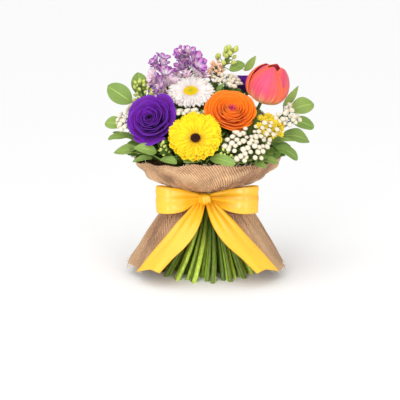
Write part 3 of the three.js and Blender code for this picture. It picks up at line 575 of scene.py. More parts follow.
def stem_finish(name, body, dark, pale):
    """Lengthwise ribs and painted shade, darker upwards towards the tie; a stem's tone makes it paler or
    darker.
    """
    mat = Finish(name, Roughness=0.38, Specular_IOR_Level=0.45, Subsurface_Weight=0.08,
                 Subsurface_Scale=0.002)
    place = mat.place()
    ribs = mat.streaks(place, (420, 420, 18), 3, 30)
    spots = mat.noise(place, 160)
    mat.shade = mat.mix(mat.between(ribs, 0.4, 0.7), body, pale)
    # The middle row is painted shade, darker with height towards the tie; the stem's tone and its spots are
    # its own colour.
    for height, low, high, most in ((mat.tone(), 0.2, 0.95, 0.8), (mat.part(place, 2), 0.03, 0.112, 0.85),
                                    (spots, 0.62, 0.78, 0.3)):
        mat.tint(mat.between(height, low, high, 0.0, most), dark)
    mat.bump(ribs, 0.25)
    return mat.done(mat.between(spots, 0.3, 0.7, 0.3, 0.5))


def speckled_finish(name, body, dark, scale, rough=0.7, grain=0.25):
    """A mottled colour with a fine grain; the tone makes it darker towards 0."""
    mat = Finish(name, Roughness=rough, Specular_IOR_Level=0.3, Subsurface_Weight=0.1, Subsurface_Scale=0.002)
    grains = mat.noise(mat.place(), scale)
    share = mat.times(mat.between(grains, 0.3, 0.7, 0.6, 1.0), mat.between(mat.tone(), 0.0, 0.7, 0.15, 1.0))
    mat.shade = mat.mix(share, dark, body)
    mat.bump(grains, grain)
    return mat.done()


def disc_finish(name, heart, body, rim):
    """Colour runs with the tone from the heart out to the rim, with a fine grain."""
    mat = Finish(name, Roughness=0.7, Specular_IOR_Level=0.25, Subsurface_Weight=0.1, Subsurface_Scale=0.002)
    grains = mat.noise(mat.place(), 900)
    mat.shade = mat.ramp(mat.tone(), (0.12, heart), (0.5, body), (0.85, body), (1, rim))
    mat.tint(mat.between(grains, 0.3, 0.7, 0.35, 0.0), shaded(body, 0.5))
    mat.bump(grains, 0.2)
    return mat.done()


def burlap_finish(name, thread, gap):
    """A plain weave on the bias: two sets of threads, each lifted where it passes over the other, with dark
    holes between them. The UV map is in millimetres; the tone paints shade in the folds and beside the
    lapped edge, and a highlight on the folds' crests."""
    mat = Finish(name, Roughness=0.92, Specular_IOR_Level=0.1, Sheen_Weight=0.1)
    pitch = mm("weave")
    cloth = mat.stretched(mat.uv(), (1 / pitch, 1 / pitch, 1), 38)
    wander = mat.noise(cloth, 0.35)
    across, along = (mat.sine(mat.plus(mat.part(cloth, axis), mat.times(wander, sway)), math.pi)
                     for axis, sway in ((0, 0.6), (1, -0.6)))
    warp, weft = mat.absolute(across), mat.absolute(along)
    upper = mat.maths("MAXIMUM", warp, weft)
    slubs = mat.noise(mat.stretched(cloth, (0.2, 2.0, 1)), 1, 3)
    uneven = mat.plus(slubs, mat.noise(mat.stretched(cloth, (2.0, 0.2, 1)), 1, 3, 5.0))
    lines = mat.between(mat.times(warp, weft), 0.0, 0.35, 0.6, 1.0)
    mat.shade = mat.mix(mat.times(mat.between(upper, 0.5, 0.92), lines), gap, thread)
    patches, tone = mat.noise(mat.place(), 16), mat.tone()
    # The first three rows are the weave's own uneven threads and patches. The last two paint light: the gap
    # colour as shade where the tone is low, in folds and beside the lapped edge, and a paler thread as a
    # highlight on fold crests.
    for value, low, high, to_low, to_high, shade in (
            (uneven, 0.8, 1.15, 0.4, 0.0, gap), (patches, 0.35, 0.7, 0.0, 0.3, shaded(thread, 1.25)),
            (patches, 0.34, 0.5, 0.28, 0.0, gap), (tone, 0.1, 0.6, 0.5, 0.0, gap),
            (tone, 0.7, 0.95, 0.0, 0.3, shaded(thread, 1.3))):
        mat.tint(mat.between(value, low, high, to_low, to_high), shade)
    height = mat.plus(upper, mat.times(mat.times(across, along), 0.3))
    mat.bump(mat.plus(height, mat.times(slubs, 0.6)), 1.2)
    return mat.done()


def satin_finish(name, body, dark):
    """Fine threads along the ribbon under a smooth gloss; the tone paints shade into its folds. The UV map is
    in millimetres, so the selvedges are dark beyond 18 on either side."""
    mat = Finish(name, Roughness=0.3, Specular_IOR_Level=0.8, Sheen_Weight=0.05, Sheen_Roughness=0.3,
                 Sheen_Tint=(1.0, 0.9, 0.5, 1.0), Anisotropic=0.4)
    uv = mat.uv()
    threads = mat.noise(mat.stretched(uv, (2.6, 0.05, 1)), 1)
    # Painted shade: the dark colour where the tone is low in the ribbon's folds.
    mat.shade = mat.mix(mat.between(mat.tone(), 0.1, 0.6), dark, body)
    mat.tint(mat.between(mat.noise(mat.place(), 26), 0.35, 0.7, 0.0, 0.3), shaded(body, 1.25))
    mat.tint(mat.between(mat.absolute(mat.part(uv, 0)), 17.6, 18.4, 0.0, 0.5), dark)
    mat.bump(threads, 0.05)
    return mat.done(mat.between(threads, 0.3, 0.7, 0.26, 0.38))


# Stems.
def slot_at(ring, index, z):
    """Where a stem is at some heights: upright in its ring at the tie, and further out and round below it."""
    t = np.maximum(0, (WAIST_LOW - z) / WAIST_LOW)
    spread = 1 + (FOOT_RADIUS / (3 * STEM_PITCH) - 1) * t ** FOOT_CURVE
    azimuth = RING_START[ring] + 360 * index / RING_COUNTS[ring] - FOOT_TWIST * t
    return polar(ring * STEM_PITCH * spread, azimuth, z)


def stem_line(ring, index, head, axis):
    """A stem's path: up through the tie, then a cubic curve that bends over to arrive along the axis."""
    low = slot_at(ring, index, np.append(np.linspace(0, WAIST_LOW, 10), WAIST_HIGH))
    start, end = low[-1], np.asarray(head, float)
    reach = np.linalg.norm(end - start)
    rise = start + vec(0, 0, 0.33 * reach)
    arrive = end - unit(np.asarray(axis, float)) * 0.36 * reach
    t = np.linspace(0, 1, 16)[1:, None]
    upper = start * (1 - t) ** 3 + 3 * rise * t * (1 - t) ** 2 + 3 * arrive * t ** 2 * (1 - t) + end * t ** 3
    return np.concatenate([low, upper])


def nearest_on(line, places):
    """The line's points nearest to some places."""
    fine = spline(line, 160)
    return fine[np.argmin(np.linalg.norm(fine - np.atleast_2d(places)[:, None], axis=-1), axis=1)]


def stem(surface, line, radius, tone):
    """A stem: thicker at the cut end, thinner towards the head, with faint knots."""
    share = np.linspace(0, 1, len(line))
    wide = radius * (1.04 - 0.22 * share ** 2 + 0.05 * np.sin(9 * share + 20 * tone))
    wide = wide * (1 + 0.28 * smooth(line[:, 2], 100, 20))
    return surface.tube(line, wide, 10, tone, level=True)


# Blooms, each round +Z with its rim near height 0. A row is the kind, the stem's ring and place in it, the
# centre, the way it faces, the radius, and the disc's radius, the rosette's depth or the tulip's height.
BLOOMS = {
    "white_gerbera_front": ("white_gerbera", 0, 0, (-24, -22, 276), (-0.05, -0.55, 0.83), 35, 11),
    "orange_ranunculus_front": ("orange_ranunculus", 1, 0, (35, -58, 253.5), (0.1, -0.7, 0.7), 34.5, 22),
    "purple_lisianthus_left": ("purple_lisianthus", 2, 1, (-82, -61.5, 241.5), (-0.28, -0.78, 0.55), 35, 24),
    "yellow_gerbera_front": ("yellow_gerbera", 2, 2, (-17, -92, 218), (-0.07, -0.8, 0.6), 40, 7),
    "tulip_right": ("tulip", 2, 5, (78, -30, 261), (0.36, -0.15, 0.92), 30, 56),
    "purple_lisianthus_back": ("purple_lisianthus", 2, 6, (62, 32, 287), (0.12, -0.12, 0.98), 27, 22),
    "white_gerbera_back": ("white_gerbera", 2, 7, (68, 68, 230), (0.52, 0.52, 0.68), 34, 11),
    "tulip_back": ("tulip", 2, 9, (-12, 40, 224), (-0.08, 0.16, 0.98), 20, 50),
    "orange_ranunculus_back": ("orange_ranunculus", 2, 10, (-68, 60, 232), (-0.5, 0.5, 0.7), 32, 22),
    "yellow_gerbera_back": ("yellow_gerbera", 3, 12, (-4, 92, 218), (-0.03, 0.76, 0.65), 38, 7),
}


def below_rim(kind, radius, extra):
    """How far below its centre a bloom's stem ends."""
    if kind == "tulip":
        return 0.02 * extra
    return 0.3 * radius if "gerbera" in kind else 1.06 * extra


def bloom_stem(kind, ring, index, centre, faces, radius, extra, gap):
    """The path of a bloom's stem, which ends a gap below the bloom."""
    end = vec(*centre) - unit(vec(*faces)) * (below_rim(kind, radius, extra) + gap)
    return stem_line(ring, index, end, faces)


def reach_of(kind, radius, extra):
    """How far a bloom reaches below and above its centre, along the way it faces."""
    if kind == "tulip":
        return 0, extra
    return (-0.26 * radius, 0.08 * radius) if "gerbera" in kind else (-extra, 0.25 * extra)


def inside_bloom(points, margin):
    """Which points lie in a bloom: within its radius and depth, taken along and square to where it faces."""
    hit = np.zeros(len(points), bool)
    for kind, _, _, centre, faces, radius, extra in BLOOMS.values():
        axis = unit(vec(*faces))
        apart = points - vec(*centre)
        height = apart @ axis
        out = np.linalg.norm(apart - height[:, None] * axis, axis=1)
        low, high = reach_of(kind, radius, extra)
        taper = 1 if kind == "tulip" else np.clip(1 + 0.7 * height / radius, 0.5, 1)
        hit |= (out < radius * taper + margin) & (height > low - margin) & (height < high + margin)
    return hit


def hides_bloom(points):
    """Which points stand between a bloom and someone who looks at its face."""
    hit = np.zeros(len(points), bool)
    for kind, _, _, centre, faces, radius, extra in BLOOMS.values():
        ahead = vec(*faces[:2]) if kind != "tulip" else vec(0, centre[1])
        outwards = unit(np.append(ahead, 0.2))
        apart = points - vec(*centre) - (vec(*faces) * extra / 2 if kind == "tulip" else 0)
        depth = apart @ outwards
        hit |= (depth > 0) & (np.linalg.norm(apart - depth[:, None] * outwards, axis=1) < 0.92 * radius)
    return hit


# The height of a gerbera's rays at a share of its radius, and its layers of rays from the outside in: their
# number, where they start and end, their width and their lift.
RISES = {
    "yellow_gerbera": lambda share: 0.22 * share ** 1.5 - 0.215,
    "white_gerbera": lambda share: 0.3 * share - 0.26 * share ** 2.4 - 0.16,
}
RAY_LAYERS = {
    "yellow_gerbera": ((17, 0.2, 1.0, 0.185, 0.0), (17, 0.17, 0.96, 0.18, 0.026),
                       (19, 0.16, 0.82, 0.15, 0.055), (21, 0.14, 0.66, 0.11, 0.078),
                       (24, 0.12, 0.5, 0.075, 0.082), (28, 0.1, 0.37, 0.05, 0.07)),
    "white_gerbera": ((32, 0.32, 1.03, 0.088, 0.0), (32, 0.31, 1.0, 0.084, 0.026),
                      (34, 0.3, 0.88, 0.074, 0.05), (36, 0.3, 0.68, 0.06, 0.06)),
}


def rays(radius, rise, count, root, tip, wide, lift, seed):
    """One layer of rays. Along a ray its height follows `rise`, a function of the share of the bloom's
    radius; its half width swells from a narrow root and rounds off at the tip; across it is cupped, with
    two grooves."""
    draw = np.random.default_rng(seed)
    s, w = blade(10, 7)
    vary = draw.uniform(0.93, 1.0, count)[:, None, None]
    lean, twist = (draw.normal(0, most, count)[:, None, None] for most in (0.012, 0.02))
    share = root + (tip * vary - root) * s
    rounded = np.clip(1.05 - (np.clip(s - 0.7, 0, 1) / 0.3) ** 2.4, 0.05, 1)
    half = wide * (0.38 + 0.62 * smooth(s, 0, 0.7)) * np.sqrt(rounded)
    notch = 0.016 * smooth(s, 0.85, 1) * np.abs(np.cos(1.5 * math.pi * w)) ** 0.5
    cup = 0.05 * w ** 2 * smooth(s, 0, 0.4) * wide / 0.1
    groove = 0.004 * np.cos(2 * math.pi * w * 1.5) * smooth(s, 0.05, 0.4)
    height = rise(share) + lift + cup + lean * s + twist * w * s - groove
    height = height + draw.normal(0, 0.01, count)[:, None, None] * s ** 4
    x, y, z = np.broadcast_arrays(share - notch, w * half, height)
    turn = 360 * (np.arange(count) + 0.1 * draw.normal(size=count)) / count + 31 * seed
    angle = np.radians(turn)[:, None, None]
    points = np.stack([x * np.cos(angle) - y * np.sin(angle), x * np.sin(angle) + y * np.cos(angle), z], -1)
    return points * radius, draw.uniform(-0.08, 0.08, count) + 0.8 * tip - 0.1


def florets(radius, count, dome, size):
    """Small pointed knobs over a low dome, in the spiral of a sunflower's seeds."""
    share = np.sqrt((np.arange(count) + 0.5) / count)
    at = polar(radius * share, GOLDEN * np.arange(count), dome * (1 - share ** 2))
    knob = revolved([(0.9, -0.9), (1, 0), (0.62, 0.75), (0, 1.1)], 5)
    axes = np.stack([at[:, 0] * 0.5, at[:, 1] * 0.5, np.full(count, radius)], 1)
    return placed(knob, at, axes, 50 * np.arange(count), size * (0.75 + 0.35 * share)), share


def gerbera(kind, radius, eye):
    """Layers of rays, each shorter and higher than the one outside it, and the disc in their middle."""
    head, disc = Surface(), Surface()
    for seed, layer in enumerate(RAY_LAYERS[kind], 1):
        points, tone = rays(radius, RISES[kind], *layer, seed)
        head.sheet(points, mm("petal"), tone)
    under = [(0, -0.3), (0.09, -0.29), (0.15, -0.25), (0.26, -0.2), (0.24, -0.17), (0, -0.15)]
    head.grid(revolved(np.array(under) * radius, 14), 0.5, 1)
    count = 90 if kind == "yellow_gerbera" else 190
    knobs, share = florets(eye * 0.97, count, 0.1 * eye, eye * 0.95 / math.sqrt(count))
    disc.grid(knobs + vec(0, 0, -0.12 * eye), share)
    base = [(0, -0.12 * radius), (0.8 * eye, -0.11 * radius), (eye, -0.2 * eye), (0.95 * eye, -0.12 * eye),
            (0, -0.03 * eye)]
    disc.grid(revolved(base, 18), 0.4)
    return head, disc


def rosette(radius, depth, seed, count, ruffle, open_power):
    """Cupped petals in one spiral. A petal's rim lies further out and lower the later it comes; its sides
    reach round the heart less and less, and fall away from its middle. The outer petals open out flat at
    the rim."""
    draw = np.random.default_rng(seed)
    surface = Surface()
    q = ((np.arange(count) + 0.5) / count)[:, None, None]
    s, w = blade(9, 13)
    vary = draw.uniform(0.94, 1.03, (count, 1, 1))
    rim = radius * (0.08 + (1.0 + 0.08 * (open_power > 1)) * q ** open_power) * vary
    half = lerp(100, 44, q ** 0.5) * np.sqrt(np.clip(0.25 + 1.5 * s - 0.75 * s ** 2, 0, 1))
    foot = -depth * lerp(0.5, 0.98, q)
    top = depth * (0.22 * (1 - (rim / radius) ** 2.2) - 0.03) + draw.normal(0, 0.4, (count, 1, 1))
    phase, beat = draw.uniform(0, 6, (count, 1, 1)), draw.uniform(1.6, 3.2, (count, 1, 1))
    wave = np.sin(beat * w + phase)
    out = rim * (0.1 + 0.9 * lerp(np.sin(s * math.pi / 2) ** 0.85, s ** 1.05, 0.65 * q))
    wave = ruffle * (wave + 0.4 * np.sin(2.7 * beat * w))
    out = out + s ** 3 * (2.2 * w * q ** 0.3 + wave) * (0.3 + 0.7 * q)
    out = out + 0.04 * rim * q * s ** 7 - 0.08 * rim * w ** 4 * s
    z = lerp(foot, top, s ** 1.35) - depth * lerp(0.1, 0.26, q) * w ** 2 * s ** 2 - 0.07 * depth * q * s ** 8
    azimuth = GOLDEN * np.arange(count)[:, None, None] + half * w
    points = polar(out, azimuth, z + ruffle * 0.6 * np.cos(1.3 * beat * w + phase) * s ** 4 * (0.3 + 0.7 * q))
    surface.sheet(points, mm("petal"), q)
    surface.grid(revolved([(0, -1.06 * depth), (0.17 * radius, -0.97 * depth), (0.2 * radius, -0.6 * depth),
                           (0, -0.3 * depth)], 12), 0.5, 1)
    return surface


def sepals(surface, radius, depth):
    """Five narrow green leaves cupped under a bloom."""
    s, w = blade(7, 5)
    half = 30 * np.sin(math.pi * (0.12 + 0.85 * s)) ** 0.7
    out = radius * (0.16 + 0.5 * s ** 0.8)
    z = -depth * (1.04 - 0.62 * s ** 1.6)
    azimuth = 72 * np.arange(5)[:, None, None] + half * w
    surface.sheet(polar(out + 0.6, azimuth, z), 0.6, 0.5, 1)


def tulip(radius, tall):
    """Six broad petals in two whorls, the inner one a little taller. The radius bulges and closes in again
    above, and each petal is widest at two fifths of its height and narrows to a rounded tip, creased along
    its middle."""
    surface = Surface()
    s, w = blade(24, 17)
    k = np.arange(3)[:, None, None]
    stations = spline([(0.1, -0.01), (0.56, 0.03), (0.88, 0.17), (1.03, 0.4), (0.97, 0.64), (0.76, 0.86),
                       (0.5, 1.0)], 24)
    taper = np.clip((s - 0.36) / 0.65, 0, 1)
    width = 68 * (0.5 + 0.5 * smooth(s, 0, 0.3)) * (1 - taper ** 1.9) ** 0.75
    crease = 0.035 * np.exp(-(w / 0.12) ** 2) * smooth(s, 0.05, 0.5)
    lapped = 0.05 * w * smooth(s, 0.05, 0.4) - 0.05 * np.abs(w) ** 3
    for start, near, high, seed in ((-112, 1.02, 1.0, 0.0), (-52, 0.88, 1.04, 2.0)):
        wave = 0.025 * np.sin(3.5 * w + 2.1 * k + seed) * s ** 2
        radial = stations[:, :1] * near - crease + wave + lapped
        petals = polar(radial * radius, start + 125 * k + width * w + 6 * s ** 3,
                       stations[:, 1:] * tall * (high - 0.03 * k))
        surface.sheet(petals, 0.8, 0.15 + 0.12 * seed + 0.28 * np.arange(3))
    base = [(0, -0.02 * tall), (0.16 * radius, 0), (0.12 * radius, 0.08 * tall), (0, 0.14 * tall)]
    surface.grid(revolved(base, 12), 0.5, 1)
    return surface


# Leaves. An outline is the powers that skew a blade's sine along it and round it.
OUTLINES = {"broad": (1.0, 0.55), "oval": (1.0, 0.45), "pointed": (0.78, 0.85)}


def leaves(surface, table, seed, finish=0, tone=None, grid=(13, 9)):
    """Leaves from (root, base, tip, width, face, shape) rows. A blade runs from base to tip with its half
    width as a power of a sine, arched along, folded at the rib and waved at the edge, on a stalk from its
    root."""
    draw = np.random.default_rng(seed)
    roots, bases, tips, widths, faces, shapes = (np.array(column) for column in zip(*table))
    count = len(table)
    run = tips - bases
    reach = np.linalg.norm(run, axis=1)[:, None]
    along = unit(run)
    up = unit(faces - (faces * along).sum(1, keepdims=True) * along)
    side = np.cross(along, up)
    skew, power = np.array([OUTLINES[shape] for shape in shapes]).T[..., None, None]
    t, w = blade(*grid)
    outline = np.sin(math.pi * np.clip(t, 0.004, 0.998) ** skew)
    half = widths[:, None, None] / 2 * np.clip(outline, 0, 1) ** power
    phase = draw.uniform(0, 6, (count, 1, 1))
    arch = draw.uniform(0.07, 0.13, (count, 1, 1)) * reach[..., None]
    lift = arch * np.sin(math.pi * t) + 0.2 * half * np.abs(w) ** 1.3
    lift = lift + 0.035 * widths[:, None, None] * np.sin(9 * t + phase + 2 * np.sign(w)) * w ** 2
    points = (bases[:, None, None] + along[:, None, None] * (t * reach[..., None])[..., None]
              + side[:, None, None] * (w * half)[..., None] + up[:, None, None] * lift[..., None])
    if tone is None:
        shade = draw.uniform(0.25, 0.9, count)
    else:
        shade = np.clip(tone + draw.normal(0, 0.12, count), 0, 1)
    surface.sheet(points, mm("leaf"), shade, finish)
    surface.tube(bow(roots, bases + along * 0.5, 6, up * 1.2), 0.7, 5, shade, finish)


def collar(azimuths, rise):
    """Leaves round the back of the collar, by turns low and raised."""
    rows = []
    for k, azimuth in enumerate(azimuths):
        lift = (k % 2) * rise
        rows.append((polar(102.0, azimuth, 189 + lift), polar(140.0, azimuth + 4, 200 + 2 * lift), 24,
                     polar(-0.4, azimuth, 0.9), "broad"))
    return rows


# Leafy stems: the stem's ring and place in it, its head and the way it points, and its leaves.
LEAVES = {
    "leafy_left_upper": ((2, 11, (-102, -6, 256), (-0.6, -0.1, 0.8)), (
        ((-110, -16, 258), (-145, -10, 281), 29, (-0.3, -0.8, 0.4), "broad"),
        ((-98, 0, 266), (-101, 8, 299), 25, (0.1, -0.9, 0.3), "broad"))),
    "leafy_left_middle": ((3, 1, (-112, -30, 218), (-0.8, -0.2, 0.5)), (
        ((-121, -27, 227), (-149, -20, 228), 20, (0, -0.8, 0.5), "oval"),
        ((-116, -35, 210), (-144, -30, 206), 15, (0, -0.5, 0.85), "oval"))),
    "leafy_left_lower": ((3, 2, (-84, -62, 190), (-0.7, -0.6, 0.3)), (
        ((-95, -50, 192), (-135, -42, 188), 22, (0, -0.5, 0.85), "broad"),
        ((-72, -80, 194), (-104, -84, 202), 19, (0, -0.7, 0.7), "pointed"),
        ((-78, -78, 186), (-106, -74, 180), 11, (0, -0.5, 0.85), "oval"),
        ((-66, -90, 186), (-43, -106, 183), 15, (0, -0.5, 0.85), "oval"))),
    "leafy_front": ((3, 4, (-8, -92, 174), (0, -0.9, 0.3)), (
        ((4, -97, 190), (38, -119, 184), 17, (0, -0.8, 0.6), "oval"),
        ((-8, -98, 186.5), (-33, -109, 186), 13, (0, -0.5, 0.85), "oval"))),
    "leafy_front_right": ((3, 6, (58, -78, 180), (0.5, -0.8, 0.3)), (
        ((66, -78, 184), (101, -74, 178), 15, (0, -0.5, 0.85), "oval"),
        ((56, -90, 181), (32, -100, 184), 13, (0, -0.5, 0.85), "oval"),
        ((64, -86, 180), (82, -96, 176), 12, (0, -0.5, 0.85), "oval"))),
    "leafy_right_lower": ((3, 7, (94, -46, 200), (0.8, -0.4, 0.4)), (
        ((92, -58, 207), (124, -56, 207), 10, (0, -0.5, 0.85), "pointed"),
        ((98, -50, 197), (131, -42, 178), 19, (0.2, -0.7, 0.7), "oval"),
        ((108, -38, 212), (149, -26, 202), 28, (0, -0.6, 0.8), "broad"))),
    "leafy_right_upper": ((3, 9, (112, -6, 238), (0.7, -0.1, 0.7)), (
        ((121, -12, 245), (157, 0, 254), 26, (0, -0.85, 0.5), "broad"),
        ((122, -16, 232), (157, -10, 220), 19, (0, -0.85, 0.5), "oval"),
        ((112, 0, 250), (134, 2, 280), 12, (0.3, -0.9, 0), "pointed"))),
    "leafy_back_right": ((3, 10, (80, 66, 190), (0.6, 0.6, 0.4)), collar((16, 31, 46, 58), 5)),
    "leafy_back": ((3, 13, (-22, 96, 186), (-0.1, 0.8, 0.4)), collar((73, 110, 124), -3)),
    "leafy_back_left": ((3, 14, (-76, 70, 190), (-0.6, 0.6, 0.4)), collar((136, 149, 162, 174), 5)),
}
TOP_LEAVES = (((34, 26, 300), (56, 34, 310), 17, (-0.2, -0.9, 0.5), "oval"),
              ((56, 22, 300), (72, 26, 322), 12, (0.3, -0.9, 0.1), "pointed"))


def on_stem(line, rows):
    """Leaf rows with the root of each stalk found on the stem."""
    return [(nearest_on(line, vec(*base))[0], vec(*base), vec(*tip), width, vec(*face), shape)
            for base, tip, width, face, shape in rows]


# Sprays.
def umbel(place, centre, wide, high, count, seed):
    """Points on the stem, and the places above them over a domed oval patch, spread like sunflower seeds."""
    draw = np.random.default_rng(seed)
    k = np.arange(count)
    share = np.sqrt((k + 0.5) / count)
    local = polar(share, GOLDEN * k + draw.uniform(-12, 12, count), 0.0)
    dome = 0.28 * high * (1 - share ** 2) + draw.uniform(-2.5, 2.5, count)
    local = np.stack([local[:, 0] * wide, local[:, 1] * high, dome], 1)
    way = unit(vec(*place[3]))
    to = local @ turning(way)[0] + vec(*centre)
    return vec(*place[2]) - way * (1 + 22 * share[:, None]), to


def spike(place, long, spread, count, seed):
    """Places that stand off the upper length of a stem all round, in a spiral, shorter towards its tip."""
    draw = np.random.default_rng(seed)
    way = unit(vec(*place[3]))
    share = np.linspace(0, 1, count)
    leave = vec(*place[2]) - way * (long * (1 - share))[:, None]
    reach = spread * (1 - 0.7 * share) * draw.uniform(0.7, 1.1, count)
    to = polar(reach, GOLDEN * np.arange(count), 0.7 * reach + 1.5) @ turning(way)[0] + leave
    return leave, to


def twigs(surface, line, leave, to, seed):
    """Curved stalks from the stem to each place; gives the direction in which each arrives."""
    draw = np.random.default_rng(seed)
    sag = draw.normal(0, 1.2, (len(to), 3)) + vec(0, 0, -1.5)
    paths = bow(nearest_on(line, leave), to, 7, sag)
    surface.tube(paths, mm("twig"), 5, draw.uniform(0.2, 0.9, len(to)))
    return unit(paths[:, -1] - paths[:, -2])


def button_head():
    """A small double head: a cushion, with fourteen broad scales in two rounds on it."""
    s, w = blade(4, 4)
    rounds = []
    for count, out, low, high, start in ((8, 1.04, -0.3, 0.22, 0), (6, 0.72, -0.1, 0.52, 0.5)):
        azimuth = 360 * (np.arange(count)[:, None, None] + start) / count + 180 / count * 1.25 * w
        radial = out * (0.35 + 0.65 * np.sin(s * math.pi / 2)) * (1 - 0.12 * w ** 2)
        rounds.append(polar(radial, azimuth, lerp(low, high, s ** 1.4) - 0.14 * w ** 2 * s))
    cushion = revolved([(0.3, -0.5), (0.78, -0.3), (0.82, 0.2), (0, 0.62)], 9)
    return np.concatenate(rounds), cushion


# Sprays: the stem's ring and place, its head and the way it points. Then, for a domed patch, its centre,
# half width, half height, number of heads and seed; for a spike, its length, spread, number of heads, seed,
# radius and slot.
BUTTONS = {
    "buttons_top": ((1, 1, (22, 2, 278), (0.1, -0.3, 0.95)), (31, 2, 287), 22, 20, 32, 3),
    "buttons_middle": ((1, 5, (-27, -46, 240), (0, -0.6, 0.8)), (-24, -58, 247.5), 21, 9, 15, 5),
    "buttons_front_right": ((2, 3, (50, -76, 194), (0.1, -0.8, 0.5)), (54, -94, 207), 33, 25, 44, 7),
    "buttons_left": ((3, 0, (-112, -22, 232), (-0.7, -0.4, 0.5)), (-122, -34, 230), 9, 21, 12, 9),
    "buttons_right": ((3, 8, (104, -38, 234), (0.3, -0.6, 0.7)), (107, -48, 245), 27, 22, 36, 11),
    "buttons_back_right": ((3, 11, (34, 99, 206), (0.25, 0.8, 0.5)), (38, 112, 217), 18, 18, 20, 13),
    "buttons_back_left": ((3, 15, (-98, 32, 232), (-0.8, 0.3, 0.5)), (-110, 34, 244), 18, 18, 20, 15),
}
SPIKES = {
    "buds_top": ((1, 2, (36, 30, 326), (0.6, -0.1, 0.8)), 34, 13, 14, 21, 4.6, "bud"),
    "buds_left": ((2, 0, (-98, -14, 282), (-0.3, -0.1, 0.9)), 36, 15, 24, 23, 3.2, "bud"),
    "buds_left_front": ((3, 3, (-62, -92, 204), (-0.1, -0.5, 0.85)), 18, 9, 12, 25, 2.4, "bud"),
    "buds_front": ((3, 5, (26, -104, 198), (0.1, -0.6, 0.8)), 16, 9, 12, 27, 2.2, "bud"),
    "snapdragon_peach": ((2, 8, (14, 19, 307), (0, -0.2, 1)), 32, 14, 26, 29, 3.8, "peach_floret"),
}
SECOND_PATCH = ((82, -85, 226), 18, 15, 12)
SOLIDAGO = ((2, 4, (80, -58, 216), (0.4, -0.5, 0.7)), (88, -68, 230), 20, 22, 30, 31)
FREESIAS = {
    "freesia_left": ((1, 4, (-68, 4, 308), (-0.25, 0, 1)), (
        (-81, -2, 321, 9), (-62, 0, 327, 10), (-86, -6, 300, 11), (-60, -9, 306, 10), (-78, -16, 287, 14),
        (-72, -18, 272, 11))),
    "freesia_middle": ((1, 3, (-29, 20, 316), (0, -0.1, 1)), (
        (-44, 8, 333, 10), (-26, 10, 335, 10), (-11, 2, 320, 15), (-4, 10, 305, 9), (-44, 4, 312, 10))),
}
FUNNEL = 26.0
PEACH_BELOW = 0.6
PUFF_RADIUS = 4.6


def freesia_floret():
    """A funnel one unit long and one wide: six tepals side by side in a slim tube that open wide above, the
    outer three a little longer, each with a rounded tip that curls back."""
    s, w = blade(11, 6)
    k = np.arange(6)[:, None, None]
    outer = (k % 2 == 0)
    half = 31 * np.sqrt(np.clip(1.02 - (np.clip(s - 0.6, 0, 1) / 0.4) ** 2.2, 0.02, 1))
    radial = (0.09 + 0.2 * smooth(s, 0, 0.5) + 0.72 * smooth(s, 0.42, 1.05)) * np.where(outer, 1.0, 0.86)
    radial = radial - 0.05 * w ** 2 * smooth(s, 0.5, 1)
    height = s * 0.98 - 0.1 * smooth(s, 0.78, 1) - np.where(outer, 0.03, 0.0) * s
    return polar(radial, 60 * k + half * w, height)


# The burlap. The edges are the angles of its two side edges in degrees, the outer face is its distance from
# the inner one, and the last row is the length of cloth that its UV map covers.
WAIST_RADIUS = 25.4
HEM_RADIUS, HEM_Z = 116.0, 15.0
RIM_RADIUS, RIM_Z = 106.0, 179.0
TIE_EDGES, HEM_EDGES, RIM_EDGES = (-72, 262), (-35, 215), (-100, 312)
OUTER_FACE = 1.2
FIBRE_RADIUS = 0.32
HEM_ROWS, TIE_ROWS, RIM_ROWS, CLOTH_COLUMNS = 64, 7, 54, 301
CLOTH_WIDE, HEM_LONG, TIE_LONG, RIM_LONG = 740, 130, 18, 100


